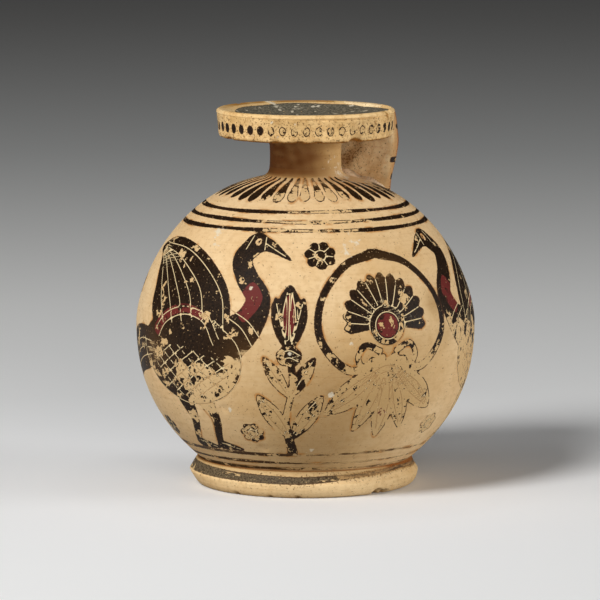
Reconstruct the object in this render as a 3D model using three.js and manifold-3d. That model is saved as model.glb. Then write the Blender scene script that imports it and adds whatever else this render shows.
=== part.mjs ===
// A footed round aryballos: a small wheel-thrown oil bottle of fired clay.
// Millimetres, +Z up. The origin is on the pot's axis, in the plane that the foot rests on.
// The strap handle stands on the +Y side.
//
// The potter throws the globe, the foot ring, the neck and the mouth disc apart, pulls the strap
// by hand, and joins them leather-hard with fillets of thick slip, here called lutings.

import * as THREE from "three";
import { mergeVertices } from "three/addons/utils/BufferGeometryUtils.js";
import Module from "manifold-3d";

// Globe. Its outline is two quarter curves that meet at the widest circle.
const globeRadius = 52.3;
const globeWidestHeight = 50.6;
const shoulderRise = 45.5; // from the widest circle up to where the shoulder would close
const shoulderSideFullness = 2.41;
const shoulderTopFullness = 1.6;
const bellyDrop = 57.7; // from the widest circle down to where the belly would close
const bellySideFullness = 1.389;
const bellyBottomFullness = 2.357;
const globeWall = 3.6;
const undersideSag = 2; // the floor bellies down inside the foot ring

// Foot ring
const footHeight = 8.4;
const footSpread = 2.1; // how far the edge stands out past the seat under the globe
const footEdgeHeight = 4.3; // where the foot is widest
const footUndercut = 2.9; // from the widest edge in to the resting face
const footWaist = 0.35; // how far the hollow under the joint cuts in from a straight flare
const restingWidth = 3.8;
const footInnerDraft = 1.6; // the ring's inner wall leans in by this much towards the globe

// Neck
const neckHeight = 12.2; // from the seat on the shoulder to the underside of the mouth
const neckWaistRadius = 10.95;
const neckFlare = 0.4; // the neck widens by this much at both ends
const boreRadius = 6.8;

// Mouth disc, dished on top
const mouthBandRadius = 26.8; // at the foot of the painted band
const mouthHeight = 8.7;
const lipOverhang = 1.1; // the lip stands out past the foot of the band
const lipHeight = 1.3; // from the groove under the lip to the crest
const lipRound = 1.1; // from the lip's outer edge in to the crest
const bandCorner = 1.3; // rounding under the band
const rimWidth = 2.9; // the bare sloping rim inside the crest
const rimFall = 0.8;
const dishDepth = 4.2; // from the crest to the edge of the bore
const dishHollow = 1.6; // exponent: how quickly the dish flattens towards the bore

// Strap handle, from the edge of the mouth down to the shoulder
const handleWidth = 22;
const handleThickness = 4.8;
const handleCorner = 1.9; // rounding of the strap's long edges
const handleTopStandOut = 1; // the strap's outer face past the lip at its top end
const handleBow = 1.5; // the outer face past the lip at the level of the disc's underside
const handleFootReach = 26.3; // the outer face's distance from the axis at the shoulder
const handleTopDrop = 0.9; // the rounded top end stops this far below the crest
const handleTopRound = 2.6;

// Lutings: a fillet's run along one piece and its rise up the other
const neckLutingRun = 2.3;
const neckLutingRise = 2.2;
const mouthLutingRun = 1.8;
const mouthLutingRise = 1.8;
const footLutingRun = 2.4;
const footLutingRise = 2;
const strapLutingRun = 2.4;
const strapLutingRise = 2.6;
const featherEdge = 0.15; // least thickness at a fillet's two edges

const seatGap = 0.3; // between curved faces that seat on each other

// Facets
const wideSegments = 60;
const narrowSegments = 36;
const shoulderSteps = 12;
const bellySteps = 10;
const filletSteps = 4;

const wasm = await Module();
wasm.setup();

const quarterTurn = Math.PI / 2;

// Levels and radii that follow from the sizes above
const crownHeight = shoulderHeight(neckWaistRadius + neckFlare);
const underMouth = crownHeight + neckHeight;
const crestHeight = underMouth + mouthHeight;
const lipRadius = mouthBandRadius + lipOverhang;
const crestRadius = lipRadius - lipRound;
const seatRadius = bellyRadius(footHeight);
const footEdgeRadius = seatRadius + footSpread;
const restingOuter = footEdgeRadius - footUndercut;
const restingInner = restingOuter - restingWidth;
const footInnerTop = restingInner - footInnerDraft;

// Height of the globe's outer face above the widest circle, at a distance r from the axis.
function shoulderHeight(r) {
  const inside = Math.max(0, 1 - (r / globeRadius) ** shoulderSideFullness);
  return globeWidestHeight + shoulderRise * inside ** (1 / shoulderTopFullness);
}

// Radius of the globe's outer face below the widest circle, at height z.
function bellyRadius(z) {
  const drop = (globeWidestHeight - z) / bellyDrop;
  return globeRadius * (1 - drop ** bellyBottomFullness) ** (1 / bellySideFullness);
}

// Underside of the globe: flat on the foot, then sagging towards the axis.
function undersideHeight(r) {
  const inward = Math.min(1, r / footInnerTop);
  return footHeight - undersideSag * (1 - inward ** 2) ** 2;
}

// One outline point of each quarter curve. The angle runs from the widest circle towards the axis.
function shoulderPoint(angle) {
  const r = globeRadius * Math.cos(angle) ** (2 / shoulderSideFullness);
  const z = globeWidestHeight + shoulderRise * Math.sin(angle) ** (2 / shoulderTopFullness);
  return [r, z];
}

function bellyPoint(angle) {
  const r = globeRadius * Math.cos(angle) ** (2 / bellySideFullness);
  const z = globeWidestHeight - bellyDrop * Math.sin(angle) ** (2 / bellyBottomFullness);
  return [r, z];
}

// Outline of the globe from the foot seat up to the shoulder at the radius topRadius.
function globeOutline(topRadius) {
  const seatDrop = (globeWidestHeight - footHeight) / bellyDrop;
  const seatAngle = Math.asin(seatDrop ** (bellyBottomFullness / 2));
  const topAngle = Math.acos((topRadius / globeRadius) ** (shoulderSideFullness / 2));
  const points = [];
  for (let i = bellySteps; i > 0; i--) {
    points.push(bellyPoint((seatAngle * i) / bellySteps));
  }
  for (let i = 0; i <= shoulderSteps; i++) {
    points.push(shoulderPoint((topAngle * i) / shoulderSteps));
  }
  return points;
}

// Moves an outline sideways by distance, to the right of its direction when distance is positive.
function offsetOutline(points, distance) {
  return points.map(([r, z], i) => {
    const before = points[Math.max(0, i - 1)];
    const after = points[Math.min(points.length - 1, i + 1)];
    const alongR = after[0] - before[0];
    const alongZ = after[1] - before[1];
    const length = Math.hypot(alongR, alongZ);
    return [r + (distance * alongZ) / length, z - (distance * alongR) / length];
  });
}

// Merges shared corners, drops triangles without area and turns the faces outwards.
function closedGeometry(source) {
  const bare = source.index ? source.toNonIndexed() : source;
  bare.deleteAttribute("normal");
  bare.deleteAttribute("uv");
  const merged = mergeVertices(bare, 1e-4);
  const position = merged.getAttribute("position");
  const corner = (i) => new THREE.Vector3().fromBufferAttribute(position, i);
  const triangles = [];
  let volume = 0;
  for (let i = 0; i < merged.index.count; i += 3) {
    const [a, b, c] = [0, 1, 2].map((k) => merged.index.getX(i + k));
    if (a === b || b === c || c === a) {
      continue;
    }
    triangles.push([a, b, c]);
    volume += corner(a).dot(corner(b).cross(corner(c)));
  }
  const outward = volume < 0 ? triangles.map(([a, b, c]) => [a, c, b]) : triangles;
  const geometry = new THREE.BufferGeometry();
  geometry.setAttribute("position", position);
  geometry.setIndex(outward.flat());
  return geometry;
}

// A solid of revolution about +Z from [radius, height] points.
function turned(outline, segments) {
  const points = outline.map(([r, z]) => new THREE.Vector2(r, z));
  const geometry = new THREE.LatheGeometry(points, segments);
  geometry.rotateX(quarterTurn);
  return closedGeometry(geometry);
}

// A turned ring: its outline closes on itself.
function turnedRing(outline, segments) {
  return turned([...outline, outline[0]], segments);
}

// A solid through a row of rings of points, with flat fans at both ends.
function lofted(rings) {
  const count = rings[0].length;
  const centre = (ring) =>
    ring.reduce((sum, p) => sum.add(p), new THREE.Vector3()).divideScalar(count);
  const corners = [];
  for (let i = 0; i + 1 < rings.length; i++) {
    for (let k = 0; k < count; k++) {
      const next = (k + 1) % count;
      const [a, b] = [rings[i][k], rings[i][next]];
      const [c, d] = [rings[i + 1][k], rings[i + 1][next]];
      corners.push(a, b, d, a, d, c);
    }
  }
  const first = rings[0];
  const last = rings[rings.length - 1];
  const firstCentre = centre(first);
  const lastCentre = centre(last);
  for (let k = 0; k < count; k++) {
    const next = (k + 1) % count;
    corners.push(firstCentre, first[next], first[k]);
    corners.push(lastCentre, last[k], last[next]);
  }
  const geometry = new THREE.BufferGeometry().setFromPoints(corners);
  return closedGeometry(geometry);
}

function solidOf(geometry) {
  const vertProperties = new Float32Array(geometry.getAttribute("position").array);
  const triVerts = new Uint32Array(geometry.index.array);
  return new wasm.Manifold(new wasm.Mesh({ numProp: 3, vertProperties, triVerts }));
}

function geometryOf(solid) {
  const mesh = solid.getMesh();
  const geometry = new THREE.BufferGeometry();
  geometry.setAttribute("position", new THREE.BufferAttribute(mesh.vertProperties, 3));
  geometry.setIndex(new THREE.BufferAttribute(mesh.triVerts, 1));
  return geometry;
}

// The globe: one hollow thrown wall, open at the crown where the neck sits.
function globeGeometry() {
  const outside = globeOutline(neckWaistRadius + neckFlare);
  const crown = [[boreRadius, crownHeight]];
  const inside = offsetOutline(globeOutline(boreRadius), -globeWall)
    .map(([r, z]) => [Math.max(r, boreRadius), z])
    .reverse();
  const [floorEdge, floorEdgeHeight] = inside[inside.length - 1];
  const floorMiddle = undersideHeight(0) + globeWall;
  const floor = [0.75, 0.5, 0.25, 0].map((share) => [
    floorEdge * share,
    floorMiddle + (floorEdgeHeight - floorMiddle) * share ** 3,
  ]);
  const underside = [0, 0.3, 0.6, 0.85, 1].map((share) => [
    footInnerTop * share,
    undersideHeight(footInnerTop * share),
  ]);
  return turned([...underside, ...outside, ...crown, ...inside, ...floor], wideSegments);
}

// The foot: a thrown ring with a hollow flare under the joint and a rounded edge.
function footGeometry() {
  const flare = [];
  for (let i = 0; i <= filletSteps; i++) {
    const share = i / filletSteps;
    const hollow = footWaist * Math.sin(Math.PI * share);
    const height = footHeight - (footHeight - footEdgeHeight) * share;
    flare.push([seatRadius + footSpread * share ** 0.8 - hollow, height]);
  }
  const edge = [];
  for (let i = 1; i <= filletSteps; i++) {
    const angle = (quarterTurn * i) / filletSteps;
    edge.push([restingOuter + footUndercut * Math.cos(angle), footEdgeHeight * (1 - Math.sin(angle))]);
  }
  const inner = [
    [restingInner, 0],
    [footInnerTop, footHeight],
  ];
  return turnedRing([...flare, ...edge, ...inner], wideSegments);
}

// The neck: a short thrown tube, a little hollow on the outside.
function neckRadiusAt(share) {
  return neckWaistRadius + neckFlare * (2 * share - 1) ** 2;
}

function neckGeometry() {
  const outside = [];
  const steps = 6;
  for (let i = 0; i <= steps; i++) {
    outside.push([neckRadiusAt(i / steps), crownHeight + (neckHeight * i) / steps]);
  }
  const bore = [
    [boreRadius, underMouth],
    [boreRadius, crownHeight],
  ];
  return turnedRing([...outside, ...bore], narrowSegments);
}

// The mouth's dished top, from the edge of the bore out to the foot of the bare rim.
function dishHeight(r) {
  const dishRadius = crestRadius - rimWidth;
  const share = Math.max(0, (r - boreRadius) / (dishRadius - boreRadius));
  return crestHeight - dishDepth + (dishDepth - rimFall) * share ** dishHollow;
}

// The mouth: a thick disc with an upright painted band, a rounded lip and a shallow dish.
function mouthGeometry() {
  const corner = [];
  for (let i = 0; i <= 3; i++) {
    const angle = (quarterTurn * i) / 3;
    const r = mouthBandRadius - bandCorner * (1 - Math.sin(angle));
    corner.push([r, underMouth + bandCorner * (1 - Math.cos(angle))]);
  }
  const lip = [];
  for (let i = 0; i <= 4; i++) {
    const angle = (quarterTurn * i) / 4;
    const r = crestRadius + lipRound * Math.cos(angle);
    lip.push([r, crestHeight - lipHeight * (1 - Math.sin(angle))]);
  }
  const dishRadius = crestRadius - rimWidth;
  const dish = [1, 0.75, 0.5, 0.25, 0].map((share) => {
    const r = boreRadius + (dishRadius - boreRadius) * share;
    return [r, dishHeight(r)];
  });
  return turnedRing([[boreRadius, underMouth], ...corner, ...lip, ...dish], wideSegments);
}

// Distance of the mouth's side from the axis, at height z.
function mouthSideRadius(z) {
  const band = mouthHeight - lipHeight;
  return mouthBandRadius + (lipOverhang * (z - underMouth)) / band;
}

// Cross-section of the strap, a rounded rectangle in the plane across its length.
// middle is a point on its centre line, outward points away from the neck.
function strapSection(middle, outward, width, thickness, round) {
  const across = new THREE.Vector3(1, 0, 0);
  const points = [];
  const corners = [
    [1, 1, 0],
    [-1, 1, 1],
    [-1, -1, 2],
    [1, -1, 3],
  ];
  for (const [sideX, sideY, turn] of corners) {
    for (let i = 0; i <= 3; i++) {
      const angle = quarterTurn * (turn + i / 3);
      const x = sideX * (width / 2 - round) + round * Math.cos(angle);
      const y = sideY * (thickness / 2 - round) + round * Math.sin(angle);
      points.push(middle.clone().addScaledVector(across, x).addScaledVector(outward, y));
    }
  }
  return points;
}

// The strap's centre line, from inside the shoulder up to its rounded top end.
function strapLine() {
  const half = handleThickness / 2;
  const shoulder = shoulderHeight(handleFootReach - half);
  const foot = new THREE.Vector3(0, handleFootReach - half, shoulder - handleThickness);
  const rise = new THREE.Vector3(0, handleFootReach - half + 0.2, shoulder + handleThickness / 3);
  const bend = new THREE.Vector3(0, lipRadius + handleBow - half, underMouth - bandCorner);
  const top = new THREE.Vector3(0, lipRadius + handleTopStandOut - half, crestHeight - handleTopDrop);
  return new THREE.CatmullRomCurve3([foot, rise, bend, top], false, "centripetal");
}

// The whole strap before it is cut to the mouth and the shoulder, grown on all sides by extra.
function strapGeometry(extra) {
  const line = strapLine();
  const length = line.getLength();
  const stations = [0, 0.15, 0.3, 0.45, 0.6, 0.75];
  const roundStart = 1 - handleTopRound / length;
  for (const share of [0, 0.4, 0.75, 1]) {
    stations.push(roundStart + (1 - roundStart) * share);
  }
  const rings = stations.map((u) => {
    const middle = line.getPointAt(u);
    const along = line.getTangentAt(u);
    const outward = new THREE.Vector3(0, along.z, -along.y);
    const past = Math.max(0, (u - roundStart) / (1 - roundStart));
    const pulledIn = handleTopRound * (1 - Math.sqrt(1 - (0.9 * past) ** 2));
    const width = handleWidth - 2 * pulledIn + 2 * extra;
    const thickness = handleThickness - Math.min(pulledIn, handleThickness / 3) + 2 * extra;
    const round = Math.min(handleCorner + extra, 0.45 * thickness);
    return strapSection(middle, outward, width, thickness, round);
  });
  return lofted(rings);
}

// The space that the mouth takes up, with the seat gap, as a cutter.
function mouthCutter() {
  const above = crestHeight + mouthHeight;
  const outline = [
    [0, underMouth - seatGap],
    [mouthBandRadius + seatGap, underMouth - seatGap],
    [mouthSideRadius(crestHeight) + seatGap, crestHeight],
    [mouthSideRadius(crestHeight) + seatGap, above],
    [0, above],
  ];
  return solidOf(turned(outline, wideSegments));
}

// The globe's outer face with the seat gap, filled, as a cutter.
function globeCutter(gap) {
  const outside = offsetOutline(globeOutline(boreRadius), gap);
  const base = [0, outside[0][1]];
  const top = [0, outside[outside.length - 1][1]];
  return solidOf(turned([base, ...outside, top], wideSegments));
}

// The handle: one pulled strap, its top end hollowed to hug the mouth, its foot cut to the shoulder.
function handleGeometry() {
  const strap = solidOf(strapGeometry(0));
  return geometryOf(strap.subtract(mouthCutter()).subtract(globeCutter(seatGap)));
}

// A concave fillet ring in the corner at [r, z]. It runs sideways by run, in the direction sideR,
// along the face whose height is level(r), and rises by rise, in the direction sideZ, along the
// face whose radius is flank(z).
function filletRing({ flank, level, z, run, rise, sideR, sideZ }) {
  const start = flank(z);
  const far = start + sideR * run;
  const along = [];
  const arc = [];
  for (let i = 0; i <= filletSteps; i++) {
    const share = i / filletSteps;
    along.push([start + sideR * run * share, level(start + sideR * run * share)]);
    const angle = quarterTurn * share;
    const r = far - sideR * (run - featherEdge) * Math.sin(angle);
    const height = rise - (rise - featherEdge) * Math.cos(angle);
    arc.push([r, level(r) + sideZ * height]);
  }
  const topHeight = arc[filletSteps][1];
  return turnedRing([...along, ...arc, [flank(topHeight), topHeight]], narrowSegments);
}

function neckLutingGeometry() {
  const flank = (z) => neckRadiusAt((z - crownHeight) / neckHeight) + seatGap;
  const level = (r) => shoulderHeight(r) + seatGap;
  const size = { z: crownHeight, run: neckLutingRun, rise: neckLutingRise };
  return filletRing({ flank, level, ...size, sideR: 1, sideZ: 1 });
}

function mouthLutingGeometry() {
  const flank = (z) => neckRadiusAt((z - crownHeight) / neckHeight) + seatGap;
  const level = () => underMouth;
  const size = { z: underMouth, run: mouthLutingRun, rise: mouthLutingRise };
  return filletRing({ flank, level, ...size, sideR: 1, sideZ: -1 });
}

function footLutingGeometry() {
  const innerWall = (z) => restingInner + ((footInnerTop - restingInner) * z) / footHeight;
  const flank = (z) => innerWall(z) - seatGap;
  const level = (r) => undersideHeight(r) - seatGap;
  const size = { z: footHeight, run: footLutingRun, rise: footLutingRise };
  return filletRing({ flank, level, ...size, sideR: -1, sideZ: -1 });
}

// Distance from the axis of the strap's inner face, at height z.
function strapInnerFace(z) {
  const nearest = strapLine()
    .getPoints(200)
    .reduce((best, point) => (Math.abs(point.z - z) < Math.abs(best.z - z) ? point : best));
  return nearest.y - handleThickness / 2;
}

// The slip under the disc, in the corner behind the strap: a bead with a hollow face.
function handleTopLutingGeometry() {
  const underside = underMouth - seatGap;
  const wall = strapInnerFace(underside) - seatGap;
  const inStrap = wall + handleThickness / 3;
  const outline = [
    [inStrap, underside],
    [wall - strapLutingRun, underside],
  ];
  for (let i = 0; i <= filletSteps; i++) {
    const angle = (quarterTurn * i) / filletSteps;
    const y = wall - strapLutingRun + (strapLutingRun - featherEdge) * Math.sin(angle);
    const z = underside - strapLutingRise + (strapLutingRise - featherEdge) * Math.cos(angle);
    outline.push([y, z]);
  }
  outline.push([inStrap, underside - strapLutingRise]);
  const shape = new THREE.Shape(outline.map(([y, z]) => new THREE.Vector2(y, z)));
  const width = handleWidth - 2 * handleCorner;
  const bead = new THREE.ExtrudeGeometry(shape, { depth: width, bevelEnabled: false, steps: 1 });
  bead.translate(0, 0, -width / 2);
  const across = new THREE.Matrix4().makeBasis(
    new THREE.Vector3(0, 1, 0),
    new THREE.Vector3(0, 0, 1),
    new THREE.Vector3(1, 0, 0),
  );
  bead.applyMatrix4(across);
  const cleared = solidOf(closedGeometry(bead)).subtract(solidOf(strapGeometry(seatGap)));
  return geometryOf(cleared);
}

// The slip round the foot of the strap: a skirt with a hollow face, cut to the strap and the globe.
// Its rings lie parallel to the shoulder there, and climb along the strap.
function handleBaseLutingGeometry() {
  const footY = handleFootReach - handleThickness / 2;
  const reach = 0.5;
  const fall = shoulderHeight(footY - reach) - shoulderHeight(footY + reach);
  const normal = new THREE.Vector3(0, fall, 2 * reach).normalize();
  const downhill = new THREE.Vector3(0, normal.z, -normal.y);
  const seat = new THREE.Vector3(0, footY, shoulderHeight(footY));
  const line = strapLine();
  const climb = line.getPointAt(0.4).sub(line.getPointAt(0.1)).normalize();
  const lean = climb.dot(normal);
  const edge = seatGap + featherEdge;
  const ring = (height, spread) => {
    const middle = seat.clone().addScaledVector(climb, height / lean);
    const width = handleWidth + 2 * (edge + spread);
    const thickness = (handleThickness + 2 * (edge + spread)) / lean;
    return strapSection(middle, downhill, width, thickness, handleCorner + spread);
  };
  const rings = [ring(-strapLutingRun, strapLutingRun)];
  for (let i = 0; i <= filletSteps; i++) {
    const angle = (quarterTurn * i) / filletSteps;
    const height = edge + strapLutingRise * (1 - Math.cos(angle));
    rings.push(ring(height, strapLutingRun * (1 - Math.sin(angle))));
  }
  const skirt = solidOf(lofted(rings));
  const cleared = skirt.subtract(solidOf(strapGeometry(seatGap)));
  return geometryOf(cleared.subtract(globeCutter(seatGap)));
}

function finish(colour, roughness) {
  return new THREE.MeshStandardMaterial({ color: colour, roughness, metalness: 0 });
}

const pot = new THREE.Group();

function add(name, geometry, material) {
  const mesh = new THREE.Mesh(geometry, material);
  mesh.name = name;
  pot.add(mesh);
}

add("body", globeGeometry(), finish("#d9b783", 0.62));
add("foot", footGeometry(), finish("#cfae7b", 0.66));
add("foot_luting", footLutingGeometry(), finish("#c8a572", 0.75));
add("neck", neckGeometry(), finish("#c9a675", 0.66));
add("neck_luting", neckLutingGeometry(), finish("#d3b084", 0.72));
add("mouth", mouthGeometry(), finish("#e0bd88", 0.62));
add("mouth_luting", mouthLutingGeometry(), finish("#a88257", 0.75));
add("handle", handleGeometry(), finish("#d2ab78", 0.66));
add("handle_top_luting", handleTopLutingGeometry(), finish("#96704b", 0.8));
add("handle_base_luting", handleBaseLutingGeometry(), finish("#dcc0a0", 0.75));

export default pot;
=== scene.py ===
import math
from functools import partial

import bpy
import numpy as np
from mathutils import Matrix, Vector


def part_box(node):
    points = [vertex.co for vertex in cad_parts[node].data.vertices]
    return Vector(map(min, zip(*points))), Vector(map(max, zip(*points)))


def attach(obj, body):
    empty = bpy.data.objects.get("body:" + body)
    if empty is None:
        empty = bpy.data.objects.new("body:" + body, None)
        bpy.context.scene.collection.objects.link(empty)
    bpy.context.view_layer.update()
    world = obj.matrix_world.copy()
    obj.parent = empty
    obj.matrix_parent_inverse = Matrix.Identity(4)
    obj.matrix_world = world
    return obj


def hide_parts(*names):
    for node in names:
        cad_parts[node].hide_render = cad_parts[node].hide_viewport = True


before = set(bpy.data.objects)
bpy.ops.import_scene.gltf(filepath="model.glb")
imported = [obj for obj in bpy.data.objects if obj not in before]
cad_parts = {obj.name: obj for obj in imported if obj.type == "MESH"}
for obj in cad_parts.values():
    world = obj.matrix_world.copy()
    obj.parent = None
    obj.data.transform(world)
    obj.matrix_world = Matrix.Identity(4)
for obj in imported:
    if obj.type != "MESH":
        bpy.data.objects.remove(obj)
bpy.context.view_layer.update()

# The globe
# A hollow ball thrown on the wheel in pale buff clay, with a soft flare of slip up to the neck.
# It was coated in brown-black slip by brush, cut with a point and touched with dark red.
MM = 0.001
globe_low, globe_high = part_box("body")
GLOBE_RADIUS = (globe_high.x - globe_low.x) / 2 / MM
WIDEST_HEIGHT = 50.6
SHOULDER_RISE, SHOULDER_SIDE, SHOULDER_TOP = 45.5, 2.41, 1.6
BELLY_DROP, BELLY_SIDE, BELLY_BOTTOM = 57.7, 1.389, 2.357
WALL = 3.6
UNDERSIDE = globe_low.z / MM
CROWN = globe_high.z / MM
SEAT = 8.4  # height of the joint with the foot
BORE_RADIUS = 6.8
FLARE_FOOT_RADIUS, FLARE_RADIUS, FLARE_TOP = 14.6, 11.1, 98.3
RING_SPACING = 0.7  # the painted surface is fine enough to carry 0.3 mm lines as distances
AROUND = 480
FRONT = -45.0  # the photo looks at this side


def quarter_curve(radius, rise, side, end, first, last, count=400):
    """Points of a globe outline, from the widest circle (angle 0) towards the axis (angle 1)."""
    angle = np.linspace(first, last, count) * math.pi / 2
    r = radius * np.cos(angle) ** (2 / side)
    return np.column_stack([r, WIDEST_HEIGHT + rise * np.sin(angle) ** (2 / end)])


def evenly(points, step):
    """The same line with its points a step apart."""
    points = np.asarray(points, float)
    along = np.concatenate([[0], np.cumsum(np.hypot(*np.diff(points, axis=0).T))])
    places = np.linspace(0, along[-1], max(2, round(along[-1] / step) + 1))
    return np.column_stack([np.interp(places, along, points[:, i]) for i in range(2)])


def start_outline(name):
    """A new piece with one corner at the origin, left open for editing."""
    bpy.ops.object.select_all(action="DESELECT")
    bpy.ops.mesh.primitive_plane_add(size=MM)
    piece = bpy.context.object
    piece.name = piece.data.name = name
    bpy.ops.object.mode_set(mode="EDIT")
    bpy.ops.mesh.select_mode(type="VERT")
    bpy.ops.mesh.select_all(action="SELECT")
    bpy.ops.mesh.merge(type="CENTER")
    return piece


def turned(name, outline, segments, sharp=60):
    """Draws an outline of (radius, height) in mm and turns it about +Z into a closed solid."""
    piece = start_outline(name)
    outline = [(float(r) * MM, float(z) * MM) for r, z in outline]
    bpy.ops.transform.translate(value=(outline[0][0], 0, outline[0][1]))
    for (r0, z0), (r1, z1) in zip(outline, outline[1:]):
        bpy.ops.mesh.extrude_region_move(TRANSFORM_OT_translate={"value": (r1 - r0, 0, z1 - z0)})
    bpy.ops.object.mode_set(mode="OBJECT")
    turn = piece.modifiers.new("turn", "SCREW")
    turn.steps = turn.render_steps = segments
    turn.use_merge_vertices = True
    turn.merge_threshold = 2e-6
    bpy.ops.object.modifier_apply(modifier="turn")
    bpy.ops.object.mode_set(mode="EDIT")
    bpy.ops.mesh.select_all(action="SELECT")
    bpy.ops.mesh.remove_doubles(threshold=2e-6)
    bpy.ops.mesh.normals_make_consistent(inside=False)
    bpy.ops.object.mode_set(mode="OBJECT")
    bpy.ops.object.shade_smooth_by_angle(angle=math.radians(sharp))
    return piece


seat_angle = math.asin(((WIDEST_HEIGHT - SEAT) / BELLY_DROP) ** (BELLY_BOTTOM / 2)) / (math.pi / 2)
top_angle = math.acos((FLARE_FOOT_RADIUS / GLOBE_RADIUS) ** (SHOULDER_SIDE / 2)) / (math.pi / 2)
belly = quarter_curve(GLOBE_RADIUS, -BELLY_DROP, BELLY_SIDE, BELLY_BOTTOM, seat_angle, 0)
shoulder = quarter_curve(GLOBE_RADIUS, SHOULDER_RISE, SHOULDER_SIDE, SHOULDER_TOP, 0, top_angle)
share = np.linspace(0, 1, 30)
flare_foot = shoulder[-1]
flare = np.column_stack([
    FLARE_RADIUS + (flare_foot[0] - FLARE_RADIUS) * (1 - share) ** 2,
    flare_foot[1] + (FLARE_TOP - flare_foot[1]) * share ** 2 + 1.1 * share * (1 - share),
])
skin = evenly(np.vstack([belly, shoulder[1:], flare[1:]]), RING_SPACING)
inner_top = quarter_curve(GLOBE_RADIUS - WALL, SHOULDER_RISE - WALL, SHOULDER_SIDE, SHOULDER_TOP, 0, 0.94, 8)
inner_low = quarter_curve(GLOBE_RADIUS - WALL, WALL - BELLY_DROP, BELLY_SIDE, BELLY_BOTTOM, 0.66, 0, 7)
globe_outline = [
    (0, UNDERSIDE), (9, UNDERSIDE + 0.3), (18, UNDERSIDE + 1.2), (26.5, SEAT), *skin,
    (FLARE_RADIUS - 1.5, FLARE_TOP), (FLARE_RADIUS - 1.5, CROWN), (BORE_RADIUS, CROWN),
    (BORE_RADIUS, inner_top[-1][1]), *inner_top[:-1][::-1], *inner_low[:-1][::-1],
    (inner_low[0][0] * 0.55, UNDERSIDE + WALL + 0.5), (0, UNDERSIDE + WALL),
]
globe = turned("globe", globe_outline, AROUND)

# Marks are kept as distances in mm on the vertices, so that their edges stay crisp. paint and red
# are negative inside a painted shape, and cuts points to the nearest incised line. The rest are
# shares: how much slip has flaked off, how thin it is, how stained or darkened with painted shade
# the clay is, and how chalky or pitted it is.
FAR = 9.0
DISTANCES = ("paint", "red")
SHARES = ("loss", "wash", "stain_and_shade", "chalk", "pits")


def corners_of(piece):
    spots = np.empty(len(piece.data.vertices) * 3, np.float32)
    piece.data.vertices.foreach_get("co", spots)
    return spots.reshape(-1, 3).astype(float) / MM


def put_corners(piece, spots):
    piece.data.vertices.foreach_set("co", (spots * MM).astype(np.float32).ravel())
    piece.data.update()


def blank_coat(piece):
    """An unpainted coat, with each corner's angle from the photographed side and its radius."""
    spots = corners_of(piece)
    coat = {name: np.full(len(spots), FAR) for name in DISTANCES}
    coat.update({name: np.zeros(len(spots)) for name in SHARES})
    coat["cuts"] = np.full((len(spots), 3), FAR)
    coat["spots"] = spots
    coat["radius"] = np.hypot(spots[:, 0], spots[:, 1])
    coat["facing"] = (np.degrees(np.arctan2(spots[:, 1], spots[:, 0])) - FRONT + 180) % 360 - 180
    return coat


def keep_coat(piece, coat):
    for name in DISTANCES + SHARES:
        layer = piece.data.attributes.new(name, "FLOAT", "POINT")
        layer.data.foreach_set("value", coat[name].astype(np.float32))
    layer = piece.data.attributes.new("cuts", "FLOAT_VECTOR", "POINT")
    layer.data.foreach_set("vector", coat["cuts"].astype(np.float32).ravel())


def chip(piece, centre, radius, depth, towards):
    """Sinks a small hollow into a piece, in mm, as a knock leaves."""
    spots = corners_of(piece)
    gap = np.linalg.norm(spots - np.array(centre), axis=1)
    push = depth * np.clip(1 - (gap / radius) ** 2, 0, 1)
    put_corners(piece, spots + push[:, None] * np.array(towards))


def round_the_pot(angle, radius, z):
    """A spot at an angle from the side that the photo shows."""
    way = math.radians(angle + FRONT)
    return (radius * math.cos(way), radius * math.sin(way), z)


def flowing(points, closed=False, step=0.8):
    """A smooth line through given points."""
    points = np.asarray(points, float)
    if closed:
        ring = np.vstack([points[-1:], points, points[:2]])
    else:
        ring = np.vstack([2 * points[0] - points[1], points, 2 * points[-1] - points[-2]])
    line = []
    for a, b, c, d in zip(ring, ring[1:], ring[2:], ring[3:]):
        count = max(2, int(np.hypot(*(c - b)[:2]) / step))
        t = (np.arange(count) / count)[:, None]
        bend = (2 * a - 5 * b + 4 * c - d) * t**2 + (3 * b - a - 3 * c + d) * t**3
        line.append(0.5 * (2 * b + (c - a) * t + bend))
    line.append(points[:1] if closed else points[-1:])
    return np.vstack(line)


def arc(centre, radius, first, last, squash=1.0, count=24):
    """Points of a round or squashed arc, angles in degrees."""
    angle = np.radians(np.linspace(first, last, count))
    return np.column_stack([centre[0] + radius * np.cos(angle), centre[1] + radius * squash * np.sin(angle)])


def apart(x, y, k, line, widths=None):
    """Distance and way from each spot to a line, with lengths across squeezed by k."""
    px = x * k
    least = np.full(len(x), 1e9)
    way = np.zeros((len(x), 2))
    for i, ((ax, ay), (bx, by)) in enumerate(zip(line, line[1:])):
        dx, dy = (bx - ax) * k, by - ay
        long = np.maximum(dx * dx + dy * dy, 1e-12)
        t = np.clip(((px - ax * k) * dx + (y - ay) * dy) / long, 0, 1)
        qx, qy = ax * k + dx * t - px, ay + dy * t - y
        d = np.hypot(qx, qy)
        if widths is not None:
            d = d - (widths[i] + (widths[i + 1] - widths[i]) * t)
        nearer = d < least
        least[nearer] = d[nearer]
        way[nearer] = np.column_stack([qx, qy])[nearer]
    return least, way


def within(x, y, line):
    """Which spots lie inside a closed line."""
    inside = np.zeros(len(x), bool)
    for (ax, ay), (bx, by) in zip(line, line[1:]):
        if ay != by:
            inside ^= ((ay > y) != (by > y)) & (x < (bx - ax) * (y - ay) / (by - ay) + ax)
    return inside


def up_at(z):
    """Length along the globe's skin from the widest circle up to a height."""
    return float(np.interp(z, skin[:, 1], up_of_skin))


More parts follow.
